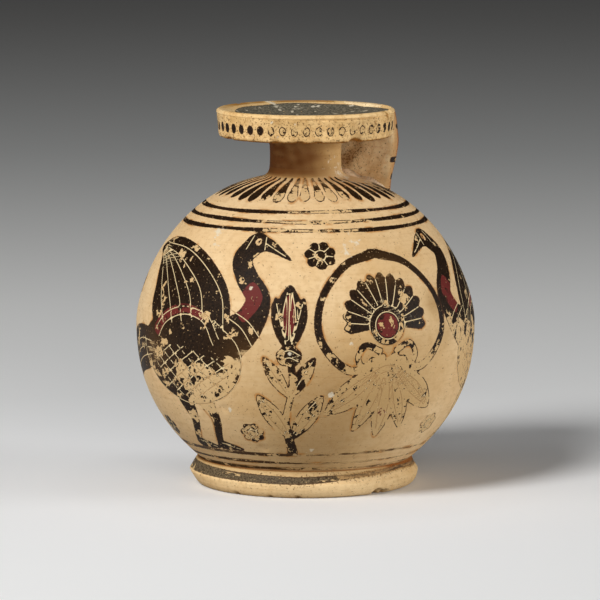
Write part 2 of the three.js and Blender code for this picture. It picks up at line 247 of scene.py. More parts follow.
def stamp(coat, marks, facing, up, size=1.0, flip=1):
    """Puts a motif's marks on the globe's coat. A mark is (kind, line, widths)."""
    turned_away = (coat["facing"] - facing + 180) % 360 - 180
    radius_here = float(np.interp(up, up_of_skin, skin[:, 0]))
    x_all = np.radians(turned_away) * radius_here * flip / size
    y_all = (coat["up"] - up) / size
    for kind, line, widths in marks:
        margin = 3 + (0 if widths is None else float(np.max(widths)))
        low, high = line.min(0) - margin, line.max(0) + margin
        here = np.flatnonzero(
            (x_all > low[0]) & (x_all < high[0]) & (y_all > low[1]) & (y_all < high[1]))
        if not len(here):
            continue
        x, y, k = x_all[here], y_all[here], np.maximum(coat["radius"][here], 8) / radius_here
        gap, way = apart(x, y, k, line, widths)
        gap, way = gap * size, way * size
        if kind == "cuts":
            nearer = gap < coat[kind][here, 2]
            coat[kind][here[nearer]] = np.column_stack([way, gap])[nearer]
            continue
        if widths is None:
            gap = np.where(within(x, y, line), -gap, gap)
        if kind == "bare":
            coat["paint"][here] = np.maximum(coat["paint"][here], -gap)
        else:
            coat[kind][here] = np.minimum(coat[kind][here], gap)


def shape(kind, points):
    return (kind, flowing(points, closed=True), None)


def stroke(kind, points, widths, step=0.8):
    """A brush stroke: a smooth line whose half-width changes along it."""
    both = flowing(np.column_stack([np.asarray(points, float), widths]), step=step)
    return (kind, both[:, :2], both[:, 2])


def cut(points):
    return ("cuts", flowing(points), None)


def hatching(outline, spacing, slant):
    """Straight cuts at a slant that fill an outline."""
    turn = math.radians(slant)
    along, over = np.array([math.cos(turn), math.sin(turn)]), np.array([-math.sin(turn), math.cos(turn)])
    middle = outline.mean(0)
    marks = []
    reach = np.abs(outline - middle).max() * 1.5
    for offset in np.arange(-reach, reach, spacing):
        run = np.arange(-reach, reach, 0.4)[:, None] * along + middle + offset * over
        inside = within(run[:, 0], run[:, 1], outline)
        edges = np.flatnonzero(np.diff(np.concatenate([[0], inside.astype(int), [0]])))
        for first, last in zip(edges[::2], edges[1::2]):
            if last - first > 2:
                marks.append(("cuts", run[[first, last - 1]], None))
    return marks


def between(first, last, count):
    """Cuts spread evenly between two edge lines."""
    a, b = flowing(first), flowing(last)
    share = np.linspace(0, 1, 24)
    a = np.column_stack([np.interp(share, np.linspace(0, 1, len(a)), a[:, i]) for i in range(2)])
    b = np.column_stack([np.interp(share, np.linspace(0, 1, len(b)), b[:, i]) for i in range(2)])
    return [("cuts", a + (b - a) * s, None) for s in np.linspace(0, 1, count + 2)[1:-1]]


def water_bird():
    """A standing long-necked bird that faces +across, with one wing raised."""
    body = [(-25, 2), (-17, 9), (-4, 12), (9, 10), (17, 3), (18, -6), (11, -14), (-2, -17), (-15, -13), (-23, -5)]
    wing = [(7, 1), (14, 9), (12, 20), (2, 29), (-12, 34), (-27, 34.5), (-38, 30), (-30, 26.5), (-24, 19), (-21, 10),
            (-12, 1), (-2, -4)]
    tail = [(-20, 4), (-31, 5), (-42, 0), (-47, -9), (-38, -8), (-41, -13), (-31, -10), (-20, -6)]
    neck = [(12, 3), (20, 9), (23, 17), (18, 24), (15, 30), (19, 35.5)]
    marks = [
        shape("paint", body), shape("paint", wing), shape("paint", tail),
        stroke("paint", neck, [7.2, 5.2, 3.9, 3.4, 3.3, 3.7]),
        stroke("paint", [(19, 35.5), (25, 34.5), (33, 30)], [3.4, 2.0, 0.4]),
        stroke("paint", [(3, -14), (6, -22), (3.5, -31)], [3.6, 1.7, 1.2]),
        stroke("paint", [(-5, -15), (-4, -23), (-8, -31)], [3.6, 1.7, 1.2]),
    ]
    for foot in (3.5, -8):
        toes = [(foot - 1.5, -31), (foot + 2, -30.5), (foot + 10, -33.6), (foot + 3, -34.4), (foot - 2, -33.6)]
        marks.append(shape("paint", toes))
        marks += [cut([(foot + 1, -32), (foot + 8, -33.6)]), cut([(foot + 0.5, -31.6), (foot + 6, -32.2)])]
    marks.append(shape("bare", arc((19.6, 36.0), 1.35, 0, 330, count=10)))
    marks.append(shape("paint", arc((19.8, 36.0), 0.55, 0, 330, count=8)))
    marks += [cut([(15.2, 33), (17, 38.2)]), cut([(22.4, 38), (22.8, 33)]), cut([(23, 35.4), (31, 31.2)])]
    marks += [cut([(13.0, 11.5), (18.5, 8), (22.5, 2)]), cut([(14.6, 13.5), (20.5, 10.2), (24.8, 5)])]
    marks.append(cut(body[3:] + body[:1]))
    marks.append(cut([(12.5, 7), (10, 18), (0, 26.8), (-14, 31.6), (-34, 31.8)]))
    marks += [cut([(9, 2.5), (5, 9), (-3, 11), (-11, 8), (-15, 3)])]
    marks.append(cut([(11, 4.5), (6.5, 11), (-3, 13.4), (-12, 10.6), (-17, 5)]))
    marks += between([(9, 11), (6, 20), (-2, 26), (-15, 30.2), (-31, 30.8)],
                     [(-17, 6.5), (-20.5, 12), (-23, 18), (-27, 24), (-33, 28.4)], 5)
    marks.append(shape("red", [(5.4, 11.8), (-3, 14.2), (-12, 11.6), (-17.6, 6), (-15, 3.4), (-11, 8.6), (-3, 11.6),
                               (4, 9.6)]))
    marks.append(shape("red", [(19, 10), (24.5, 17), (20.5, 22.5), (16, 16)]))
    marks += between([(-20, 3), (-30, 3.6), (-40, -1), (-46, -8.4)], [(-20, -5), (-30, -8.6), (-39.5, -12)], 3)
    scales = flowing([(-14, 0), (-4, 1.5), (6, -1), (14, -2), (13, -8), (6, -13), (-4, -14.6), (-13, -11), (-17, -5)],
                     closed=True)
    return marks + hatching(scales, 3.1, 32) + hatching(scales, 3.1, -38)


def leaf(root, tip, wide, ribs=1):
    """A pointed solid leaf from root to tip, with cut ribs."""
    root, tip = np.array(root, float), np.array(tip, float)
    along = tip - root
    over = np.array([-along[1], along[0]]) / np.hypot(*along)
    sides = [root + along * s + over * wide * w
             for s, w in ((0, 0.2), (0.3, 0.85), (0.6, 1), (0.85, 0.6), (1, 0), (0.85, -0.6), (0.6, -1), (0.3, -0.85),
                          (0, -0.2))]
    marks = [shape("paint", sides)]
    for rib in np.linspace(-0.45, 0.45, ribs) if ribs > 1 else (0,):
        marks.append(cut([root + along * 0.12 + over * wide * rib * 0.4, root + along * 0.5 + over * wide * rib,
                          root + along * 0.88 + over * wide * rib * 0.4]))
    return marks


def fan(middle, reach, leaves=13, spread=100):
    """A solid palmette with a scalloped edge, cut into leaves round a red heart."""
    angle = np.linspace(-spread, spread, leaves * 6 + 1)
    scallop = np.abs(np.sin(np.radians((angle + spread) / (2 * spread) * 180 * leaves)))
    r = reach * (1 - 0.16 * (angle / spread) ** 2) * (0.88 + 0.12 * scallop)
    way = np.radians(90 - angle)
    edge = np.column_stack([middle[0] + r * np.cos(way), middle[1] + r * np.sin(way)])
    marks = [("paint", np.vstack([edge, [middle], edge[:1]]), None)]
    marks.append(shape("paint", arc(middle, reach * 0.36, 0, 345, count=16)))
    for turn in np.linspace(-spread, spread, leaves + 1)[1:-1]:
        way = math.radians(90 - turn)
        out = reach * (1 - 0.16 * (turn / spread) ** 2) * 0.88
        marks.append(cut([(middle[0] + reach * 0.4 * math.cos(way), middle[1] + reach * 0.4 * math.sin(way)),
                          (middle[0] + out * math.cos(way), middle[1] + out * math.sin(way))]))
    marks += [("cuts", arc(middle, reach * 0.25, 0, 360), None), ("cuts", arc(middle, reach * 0.37, 0, 360), None)]
    marks.append(shape("red", arc(middle, reach * 0.22, 0, 345, count=16)))
    return marks


def lotus_cross():
    """An upright palmette over a hanging lotus, held by two tendrils."""
    marks = fan((0, 5), 17.5)
    for side in (-1, 1):
        curl = [(side * 2, -5), (side * 13, -9), (side * 22.5, 1), (side * 22, 14), (side * 13, 25), (side * 1, 29)]
        marks.append(stroke("paint", curl, [1.3, 1.5, 1.3, 1.2, 1.3, 1.8]))
        ring = [(side * 3, -3), (side * 8, -1), (side * 10.5, -5), (side * 8, -8.5), (side * 5.5, -6)]
        marks.append(stroke("paint", ring, [1.2, 1.1, 1.1, 1.0, 1.4]))
        marks += leaf((side * 1.5, -8), (side * 21, -24), 4.6, 3)
        marks += leaf((side * 1, -9), (side * 10, -31), 3.6, 2)
    marks += leaf((0, -9), (0, -34), 4.0, 2)
    marks.append(shape("red", [(0, -13), (2.2, -20), (1.8, -27), (0, -31), (-1.8, -27), (-2.2, -20)]))
    marks.append(shape("paint", [(-6, -7), (0, -5), (6, -7), (4, -12), (0, -13), (-4, -12)]))
    marks += [cut([(-5, -9.5), (0, -7.8), (5, -9.5)]), cut([(-4.6, -11.4), (0, -9.8), (4.6, -11.4)])]
    return marks


def bud_plant():
    """A closed lotus bud on a stalk between two pairs of leaves."""
    marks = [stroke("paint", [(0, -33), (-1.5, -20), (1, -8), (0, 4)], [1.6, 1.2, 1.1, 1.3])]
    for side in (-1, 1):
        marks += leaf((0, -27), (side * 10.5, -11), 3.2, 2)
        marks += leaf((0, -12), (side * 8, 1), 2.4, 1)
        marks += leaf((side * 0.5, 3), (side * 4.6, 19), 2.6, 1)
    marks += leaf((0, 3), (0, 23), 4.4, 3)
    marks.append(shape("red", [(0, 7), (2, 12), (1.2, 18), (0, 20), (-1.2, 18), (-2, 12)]))
    marks.append(shape("paint", [(-4, 2), (0, 4.5), (4, 2), (2.4, -1.6), (-2.4, -1.6)]))
    marks += [cut([(-3.4, 1.4), (0, 3), (3.4, 1.4)]), cut([(-2.8, -0.4), (0, 0.8), (2.8, -0.4)])]
    return marks


def rosette(petals=7, radius=3.1, petal=1.55):
    """Blobs round a blob, parted by cuts."""
    marks = [shape("paint", arc((0, 0), 1.7, 0, 330, count=12)), ("cuts", arc((0, 0), 1.6, 0, 360), None)]
    for n in range(petals):
        way = math.tau * n / petals + 0.3
        spot = (radius * math.cos(way), radius * math.sin(way))
        marks.append(shape("paint", arc(spot, petal, 0, 330, count=10)))
        way += math.pi / petals
        marks.append(cut([(1.7 * math.cos(way), 1.7 * math.sin(way)), (3.6 * math.cos(way), 3.6 * math.sin(way))]))
    return marks


def hill(value, centre, spread):
    """1 at the centre, falling off smoothly over the spread."""
    return np.exp(-((value - centre) / spread) ** 2)


def stretch(value, first, last, soft):
    """1 between first and last, falling to 0 over about the soft length at both ends."""
    return 1 / ((1 + np.exp(-(value - first) * 4 / soft)) * (1 + np.exp((value - last) * 4 / soft)))


coat = blank_coat(globe)
skin_length = np.concatenate([[0], np.cumsum(np.hypot(*np.diff(skin, axis=0).T))])
up_of_skin = skin_length - skin_length[np.argmax(skin[:, 0])]
level = np.clip(coat["spots"][:, 2], skin[0, 1], skin[-1, 1])
coat["up"] = np.interp(level, skin[:, 1], up_of_skin)
facing, up, radius = coat["facing"], coat["up"], coat["radius"]
outside = (radius > np.interp(level, skin[:, 1], skin[:, 0]) - 1.0) & (coat["spots"][:, 2] > SEAT - 0.1)
GROUND_LINE = up_at(14.3)
FRIEZE = GROUND_LINE + 36.2

for angle, flip, size in ((-42, 1, 1.0), (83, -1, 0.98), (233, 1, 0.95)):
    stamp(coat, water_bird(), angle, FRIEZE - 1, size, flip)
for angle, size in ((28.5, 0.95), (158, 1.0)):
    stamp(coat, lotus_cross(), angle, FRIEZE + 3, size)
stamp(coat, bud_plant(), -5.5, FRIEZE - 2)
fillers = (
    (6.0, 75.6, 1.06), (-21, 21.5, 0.85), (56, 22, 0.85), (-70, 20, 0.85), (-90, 62, 0.85), (111, 21, 0.85),
    (131, 74, 0.85), (185, 73, 0.85), (205, 21, 0.85), (-101, 21, 0.85),
)
for angle, z, size in fillers:
    stamp(coat, rosette(), angle, up_at(z), size)

# Tongues round the neck with full ends, three shoulder bands and the ground lines.
TONGUES, TONGUE_PHASE = 38, 0.5
TONGUE_FOOT, TONGUE_WIDEST, TONGUE_END = 12.6, 24.4, 27.4
TONGUE_THIN, TONGUE_FULL = 0.45, 1.72  # half-widths
turns = facing / 360 * TONGUES + TONGUE_PHASE
which = np.floor(turns).astype(int) % TONGUES
by_hand = np.random.default_rng(17).uniform(-1, 1, (3, TONGUES))[:, which]
sideways = np.abs(turns % 1 - 0.5 + 0.07 * by_hand[0]) * math.tau / TONGUES * radius
swollen = np.clip((radius - TONGUE_FOOT) / (TONGUE_WIDEST - TONGUE_FOOT), 0, 1) ** 1.5
half_width = (TONGUE_THIN + (TONGUE_FULL - TONGUE_THIN) * swollen) * (0.97 + 0.12 * by_hand[1])
widest = TONGUE_WIDEST + 0.7 * by_hand[2] + 1.2 * stretch(facing, 40, 130, 20)
past_widest = np.maximum(radius - widest, 0) * TONGUE_FULL / (TONGUE_END - TONGUE_WIDEST)
tongue = np.hypot(np.hypot(sideways, past_widest), np.maximum(TONGUE_FOOT - radius, 0)) - half_width
by_strap = stretch((facing + 45) % 360 - 180, -76, 76, 24)
smeared_to = TONGUE_FOOT - 3 + 11 * by_strap + 0.4 * np.sin(np.radians(23 * facing))  # slip wiped from the strap's foot
tongue = np.maximum(tongue, smeared_to - radius)
on_shoulder = outside & (coat["spots"][:, 2] > WIDEST_HEIGHT)
coat["paint"] = np.where(on_shoulder, np.minimum(coat["paint"], tongue), coat["paint"])
BANDS = ((87.3, 0.75), (84.7, 0.72), (82.3, 0.72))
GROUND_LINES = ((14.3, 0.50), (11.3, 0.45), (9.1, 0.60))
bolder = 1 + 0.45 * stretch(facing, -110, -12, 20)
for z, half in BANDS + GROUND_LINES:
    half = half * np.where(up < 0, bolder, 1) * (1 + 0.16 * np.sin(np.radians(7 * facing + 90 * z)))
    waver = 0.16 * np.sin(np.radians(3 * facing + 50 * z))
    coat["paint"] = np.minimum(coat["paint"], np.abs(up - up_at(z) - waver) - half)
coat["paint"][~outside] = FAR
coat["cuts"][~outside] = FAR


def spot_of(coat, angle, z, reach):
    """A round soft spot on a piece, at an angle from the photographed side."""
    across = np.radians((coat["facing"] - angle + 180) % 360 - 180) * coat["radius"]
    return np.exp(-(np.hypot(across, coat["spots"][:, 2] - z) / reach) ** 2)


# The slip has gone almost wholly low on the right, in large flakes low in the middle,
# and from the front of the bands and the ends of the tongues.
coat["loss"] = np.clip(
    0.13
    + 0.90 * stretch(facing, 14, 88, 22) * stretch(up, -50, 0, 14)
    + 0.50 * hill(facing, -8, 26) * hill(up, -24, 17)
    + 0.47 * hill(facing, -38, 30) * hill(up, -14, 13)
    + 0.75 * stretch(facing, -22, 29, 10) * hill(up, up_at(84.7), 6)
    + 0.85 * stretch(facing, -24, 31, 10) * hill(radius, 24.5, 4.0) * (up > 20)
    + 0.35 * hill(facing, 205, 60) * hill(up, -10, 25)
    + (0.08 + 0.40 * stretch(facing, 2, 80, 20)) * (up < up_at(16)),
    0, 1)
coat["wash"] = np.clip(
    0.60 * hill(facing, 2, 30) * hill(radius, 15, 6) * (up > 20)
    + (0.36 + 0.18 * stretch(facing, -5, 100, 20)) * (up < up_at(15.2))
    + 0.50 * hill(facing, -62, 9) * hill(up, -6, 9)
    + 0.55 * hill(facing, -20, 9) * hill(up, -6, 8)
    + 0.50 * hill(facing, 30, 12) * hill(up, 22, 6),
    0, 1)
STAINS = ((50, 60, 7, 0.42), (54, 50, 6, 0.30), (-60, 60, 8, 0.1), (10, 24, 9, 0.12))
height = coat["spots"][:, 2]
# Partly painted shade: the lower half of the front is browned and darkened, standing for the shade that the side lamps
# leave there as well as for a browner clay, with a weaker brown patch higher up to its right.
coat["stain_and_shade"] = (0.41 * hill(facing, 4, 37) * stretch(height, 0, 51, 18)
                 + 0.20 * hill(facing, 34, 22) * stretch(height, 28, 84, 12))
for angle, z, reach, depth in STAINS:
    coat["stain_and_shade"] = np.maximum(coat["stain_and_shade"], depth * spot_of(coat, angle, z, reach))


def lumps(spots, size, seed, waves=24):
    """Smooth unevenness of about -1 to 1, with humps about size mm across."""
    draw = np.random.default_rng(seed)
    ways = draw.normal(size=(waves, 3))
    ways *= (math.pi / size * draw.uniform(0.5, 1.5, waves) / np.linalg.norm(ways, axis=1))[:, None]
    return np.sin(spots @ ways.T + draw.uniform(0, math.tau, waves)).sum(1) / math.sqrt(waves)


def neck_painted_shade(coat, z):
    """Brown painted shade under the mouth disc, on the neck and round its foot, darkest on the neck's left, in streaks.
    """
    streaky = 1 + 0.09 * lumps(coat["spots"] * (0.2, 0.2, 1), 1.5, 61) + 0.05 * lumps(coat["spots"], 2.0, 62)
    return stretch(z, 95.8, 130, 1.6) * (0.31 + 0.69 * stretch(coat["facing"], -150, 22, 60)) * streaky


# Painted shade of the mouth disc, carried on over the flare and the shoulder round the neck.
coat["stain_and_shade"] = np.maximum(coat["stain_and_shade"], neck_painted_shade(coat, coat["spots"][:, 2]) * (radius < 20) * outside)
CHALK_SPOTS = (
    (9, 34.2, 1.1, 1.0), (21, 79, 3.0, 0.50), (17, 77, 2.4, 0.48), (-44, 81, 3.2, 0.52), (-41, 77, 2.4, 0.48),
    (-5, 47, 0.8, 0.7), (15, 50, 0.9, 0.75), (38, 57, 0.9, 0.6), (-28, 29, 1.3, 0.6), (2, 16, 1.6, 0.5),
    (-20, 66, 0.8, 0.6), (60, 33, 1.0, 0.5), (150, 60, 1.8, 0.7), (-150, 40, 1.4, 0.7),
    (178, 30, 2.2, 0.5), (100, 40, 1.3, 0.6), (60, 96.5, 6.5, 0.48),
)
coat["chalk"] = 0.38 * by_strap * stretch(smeared_to - radius, 0, 30, 1.5) * (up > 20)
for angle, z, reach, depth in CHALK_SPOTS:
    coat["chalk"] = np.maximum(coat["chalk"], depth * spot_of(coat, angle, z, reach))
keep_coat(globe, coat)
KNOCKS = ((-18, 16.5, 2.0, 0.5), (9, 34.2, 1.6, 0.45), (-30, 29, 1.8, 0.35), (15, 50, 1.5, 0.35), (34, 57, 1.5, 0.3))
for angle, z, reach, depth in KNOCKS:
    skin_radius = float(np.interp(z, skin[:, 1], skin[:, 0]))
    chip(globe, round_the_pot(angle, skin_radius, z), reach, depth, round_the_pot(angle, -1, 0))


def colour(code):
    """An sRGB hex code as linear colour."""
    parts = [int(code[i:i + 2], 16) / 255 for i in (1, 3, 5)]
    return tuple(c / 12.92 if c <= 0.04045 else ((c + 0.055) / 1.055) ** 2.4 for c in parts) + (1.0,)


def node(tree, kind, links=(), out=0, **settings):
    """Adds one shader node, sets it up, links or fills its inputs, and returns its output."""
    made = tree.nodes.new("ShaderNode" + kind)
    for key, value in settings.items():
        setattr(made, key, value)
    for socket, source in dict(links).items():
        if isinstance(source, bpy.types.NodeSocket):
            tree.links.new(source, made.inputs[socket])
        else:
            made.inputs[socket].default_value = source
    return made.outputs[out] if made.outputs else None


def painted_clay(name, clay="#E1BD8B", pale="#E9CA9C", dull="#C39966", slip="#130A04", worn="#302012",
                 stain_and_shade="#774B22", thin_stain_and_shade="#A88043", mottling=0.42, streaks=0.35, dirt=0.6, soaking=0.7,
                 flake_run=(1, 1, 1)):
    """Fired buff clay, smoothed wet on the wheel, with brushed brown-black slip that sintered
    to a satin film, flaked in ragged patches, and with lines incised through it to the clay."""
    made = bpy.data.materials.new(name)
    made.use_nodes = True
    tree = made.node_tree
    tree.nodes.clear()
    add = partial(node, tree)
    place = add("VectorMath", {0: add("TexCoord", out=3), 3: 1 / MM}, operation="SCALE")
    level = add("VectorMath", {0: place, 1: (0.03, 0.03, 1.0)}, operation="MULTIPLY")
    dashes = add("VectorMath", {0: place, 1: (0.22, 0.22, 1.0)}, operation="MULTIPLY")
    shares = {key: add("Attribute", out=2, attribute_name=key) for key in DISTANCES + SHARES}

    # Bare clay: broad clouds from the firing, fine mottling, wheel lines, short dark drags and grit,
    # then the stain share, which holds stains and painted shade, and dark brown in the pits, partly dirt
    # and partly painted shade in the hollows.
    clouds = add("TexNoise", {0: place, 2: 1 / 22, 3: 3.0, 4: 0.5})
    mottle = add("TexNoise", {0: place, 2: 1 / 2.1, 3: 4.0, 4: 0.62})
    wheel = add("TexNoise", {0: level, 2: 1 / 0.8, 3: 3.0, 4: 0.6})
    drags = add("TexNoise", {0: dashes, 2: 1 / 0.42, 3: 2.0, 4: 0.5})
    grit = add("TexNoise", {0: place, 2: 1 / 0.8, 3: 1.0, 4: 0.4})
    hollows = add("TexNoise", {0: place, 2: 1 / 0.62, 3: 3.0, 4: 0.65})
    deep_here = add("MapRange", {0: shares["pits"], 3: 0.66, 4: 0.44})
    deeper = add("Math", {0: hollows, 1: deep_here}, operation="SUBTRACT")
    pits = add("MapRange", {0: deeper, 1: 0.0, 2: 0.07})
    bare = add("Mix", {0: add("MapRange", {0: clouds, 1: 0.36, 2: 0.64}), 6: colour(clay), 7: colour(pale)},
               out=2, data_type="RGBA")
    for source, low, high, most, tone in (
        (mottle, 0.46, 0.74, mottling, dull), (wheel, 0.50, 0.80, streaks, dull), (drags, 0.66, 0.74, 0.40, dull),
        (grit, 0.735, 0.76, dirt, "#4A3524"), (shares["stain_and_shade"], 0.0, 0.5, 0.72, thin_stain_and_shade),
        (shares["stain_and_shade"], 0.3, 1.0, 1.0, stain_and_shade), (pits, 0.0, 1.0, 0.75, "#7C5029"),
    ):
        here = add("MapRange", {0: source, 1: low, 2: high, 3: 0.0, 4: most})
        bare = add("Mix", {0: here, 6: bare, 7: colour(tone)}, out=2, data_type="RGBA")

    # Where the slip was laid, and where it has flaked off in smooth-sided ragged patches.
    edge = add("TexNoise", {0: place, 2: 1 / 0.75, 3: 3.0, 4: 0.6})
    wander = add("Math", {0: edge, 1: 0.5, 2: -0.25}, operation="MULTIPLY_ADD")
    depth = add("Math", {0: shares["paint"], 1: wander}, operation="ADD")
    covered = add("MapRange", {0: depth, 1: 0.06, 2: -0.06})
    flake_place = add("VectorMath", {0: place, 1: flake_run}, operation="MULTIPLY")
    patches = add("TexNoise", {0: flake_place, 2: 1 / 5.0, 3: 6.0, 4: 0.56})
    limit = add("MapRange", {0: shares["loss"], 1: -0.5, 2: 1.0, 3: 0.83, 4: 0.33})
    over = add("Math", {0: patches, 1: limit}, operation="SUBTRACT")
    kept = add("MapRange", {0: over, 1: 0.003, 2: -0.003})
    islands = add("TexNoise", {0: flake_place, 2: 1 / 1.15, 3: 3.0, 4: 0.55})
    near_slip = add("MapRange", {0: over, 1: 0.24, 2: 0.0, 3: 0.68, 4: 0.565})
    crumbs = add("Math", {0: islands, 1: near_slip}, operation="GREATER_THAN")
    broken = add("TexNoise", {0: place, 2: 1 / 2.6, 3: 3.0, 4: 0.6})
    off_line = add("Math", {0: add("Math", {0: depth, 1: 0.17}, operation="ADD")}, operation="ABSOLUTE")
    outline = add("Math", {0: add("MapRange", {0: off_line, 1: 0.17, 2: 0.11}),
                           1: add("MapRange", {0: broken, 1: 0.56, 2: 0.53})}, operation="MULTIPLY")
    stays = add("Math", {0: kept, 1: add("Math", {0: outline, 1: crumbs}, operation="MAXIMUM")}, operation="MAXIMUM")
    pinholes = add("TexNoise", {0: place, 2: 1 / 0.62, 3: 1.0, 4: 0.5})
    whole = add("MapRange", {0: pinholes, 1: 0.74, 2: 0.72})
    dark = add("Math", {0: covered, 1: stays}, operation="MULTIPLY")
    dark = add("Math", {0: dark, 1: whole}, operation="MULTIPLY")
    thin = add("TexNoise", {0: dashes, 2: 1 / 1.1, 3: 5.0, 4: 0.7})
    rubbed = add("Math", {0: thin, 1: add("Math", {0: shares["wash"], 1: 0.08}, operation="SUBTRACT")}, operation="SUBTRACT")
    dark = add("Math", {0: dark, 1: add("MapRange", {0: rubbed, 1: -0.02, 2: 0.14, 3: 0.18, 4: 1.0})}, operation="MULTIPLY")

    # Clay that slip has come off is greyer, and a thin brown halo runs round some of the paint.
    lost = add("Math", {0: covered, 1: 0.5}, operation="MULTIPLY")
    bare = add("Mix", {0: lost, 6: bare, 7: colour("#C8A672")}, out=2, data_type="RGBA")
    soaked = add("TexNoise", {0: place, 2: 1 / 6.0, 3: 2.0, 4: 0.5})
    off_edge = add("Math", {0: add("Math", {0: depth, 1: -0.1}, operation="ADD")}, operation="ABSOLUTE")
    halo = add("Math", {0: add("MapRange", {0: off_edge, 1: 0.55, 2: 0.1}),
                        1: add("MapRange", {0: soaked, 1: 0.52, 2: 0.62, 3: 0.0, 4: soaking})}, operation="MULTIPLY")
    bare = add("Mix", {0: halo, 6: bare, 7: colour("#B3742F")}, out=2, data_type="RGBA")

    # The slip film, browner where thin, with dull patches and added red.
    film = add("Mix", {0: add("MapRange", {0: hollows, 1: 0.36, 2: 0.64}), 6: colour(slip), 7: colour(worn)},
               out=2, data_type="RGBA")
    brown = add("Math", {0: add("MapRange", {0: depth, 1: -0.5, 2: 0.0}),
                         1: add("MapRange", {0: clouds, 1: 0.45, 2: 0.58, 3: 0.15, 4: 0.8})}, operation="MULTIPLY")
    film = add("Mix", {0: brown, 6: film, 7: colour("#4E2F1B")}, out=2, data_type="RGBA")
    film = add("Mix", {0: shares["wash"], 6: film, 7: colour("#5A3E20")}, out=2, data_type="RGBA")
    red_depth = add("Math", {0: shares["red"], 1: wander}, operation="ADD")
    red_here = add("Math", {0: add("MapRange", {0: red_depth, 1: 0.06, 2: -0.06}),
                            1: add("MapRange", {0: broken, 1: 0.66, 2: 0.58})}, operation="MULTIPLY")
    film = add("Mix", {0: red_here, 6: film, 7: colour("#682823")}, out=2, data_type="RGBA")

    # Incised lines: clay shows through the slip, and a faint score runs on over bare clay.
    way = add("Attribute", out=1, attribute_name="cuts")
    flat_way = add("VectorMath", {0: way, 1: (1, 1, 0)}, operation="MULTIPLY")
    gap = add("VectorMath", {0: flat_way}, out=1, operation="LENGTH")
    scored = add("Math", {0: add("MapRange", {0: gap, 1: 0.18, 2: 0.10}),
                          1: add("MapRange", {0: add("SeparateXYZ", {0: way}, out=2), 1: 0.62, 2: 0.5})},
                 operation="MULTIPLY")
    scored = add("Math", {0: scored, 1: add("MapRange", {0: broken, 1: 0.68, 2: 0.62})}, operation="MULTIPLY")
    score_on_bare = add("Math", {0: scored, 1: 0.6}, operation="MULTIPLY")
    bare = add("Mix", {0: score_on_bare, 6: bare, 7: colour("#A67E50")}, out=2, data_type="RGBA")
    film = add("Mix", {0: scored, 6: film, 7: colour("#E6CC9C")}, out=2, data_type="RGBA")
    surface = add("Mix", {0: dark, 6: bare, 7: film}, out=2, data_type="RGBA")

    # Chalky lime that sits on clay and slip alike.
    ragged = add("Math", {0: mottle, 1: 1.6, 2: -0.8}, operation="MULTIPLY_ADD")
    lime = add("MapRange", {0: add("Math", {0: shares["chalk"], 1: ragged}, operation="ADD"), 1: 0.42, 2: 0.60,
                            3: 0.0, 4: 0.85})
    surface = add("Mix", {0: lime, 6: surface, 7: colour("#DFD2B8")}, out=2, data_type="RGBA")

    # The film is smoother than the clay and stands a hair proud of it.
    bared = add("Math", {0: 1.0, 1: scored}, operation="SUBTRACT")
    skin_of_slip = add("Math", {0: dark, 1: bared}, operation="MULTIPLY")
    rough = add("MapRange", {0: skin_of_slip, 3: 0.66, 4: 0.50})
    relief = add("Math", {0: skin_of_slip, 1: 0.035}, operation="MULTIPLY")
    for source, height in ((scored, -0.10), (wheel, 0.09), (mottle, 0.08), (lime, 0.06), (pits, -0.30)):
        relief = add("Math", {0: source, 1: height, 2: relief}, operation="MULTIPLY_ADD")
    normal = add("Bump", {0: 0.8, 1: MM, "Height": relief})
    shader = add("BsdfPrincipled", {
        "Base Color": surface, "Roughness": rough, "Specular IOR Level": 0.08, "Normal": normal})
    add("OutputMaterial", {0: shader})
    return made


def dress(piece, material, slot, *nodes):
    """Gives a piece its material and body, and hides the frame's solids it stands for. The slot is not used."""
    piece.data.materials.clear()
    piece.data.materials.append(material)
    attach(piece, "root")
    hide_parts(*nodes)


dress(globe, painted_clay("painted_buff_clay"), "painted_clay", "body", "neck_luting")

# The foot
# A separately thrown ring with a hollow flare and a rounded edge, luted under the globe.
# Its side has a worn band of thin slip, and its resting edge is chipped.
foot_low, foot_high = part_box("foot")
FOOT_EDGE = (foot_high.x - foot_low.x) / 2 / MM
FOOT_HEIGHT = foot_high.z / MM
EDGE_HEIGHT, UNDERCUT, RESTING_WIDTH, SPREAD = 4.3, 2.9, 3.8, 2.1
share = np.linspace(0, 1, 18)
flare_line = np.column_stack([
    FOOT_EDGE - SPREAD + SPREAD * share ** 0.8 - 0.35 * np.sin(math.pi * share),
    FOOT_HEIGHT - (FOOT_HEIGHT - EDGE_HEIGHT) * share,
])
turn = np.linspace(0, math.pi / 2, 16)[1:]
edge_line = np.column_stack([FOOT_EDGE - UNDERCUT + UNDERCUT * np.cos(turn), EDGE_HEIGHT * (1 - np.sin(turn))])
resting_inner = FOOT_EDGE - UNDERCUT - RESTING_WIDTH
foot_outline = [
    (FOOT_EDGE - SPREAD - 2, FOOT_HEIGHT), *flare_line, *edge_line,
    (resting_inner + 0.4, 0), (resting_inner, 0.4), (resting_inner - 0.9, FOOT_HEIGHT - 3.2),
    (resting_inner - 1.8, FOOT_HEIGHT - 1.9), (resting_inner - 3.6, FOOT_HEIGHT - 0.9),
    (resting_inner - 3.6, FOOT_HEIGHT), (FOOT_EDGE - SPREAD - 2, FOOT_HEIGHT),
]
foot = turned("foot_ring", foot_outline, 360, 40)


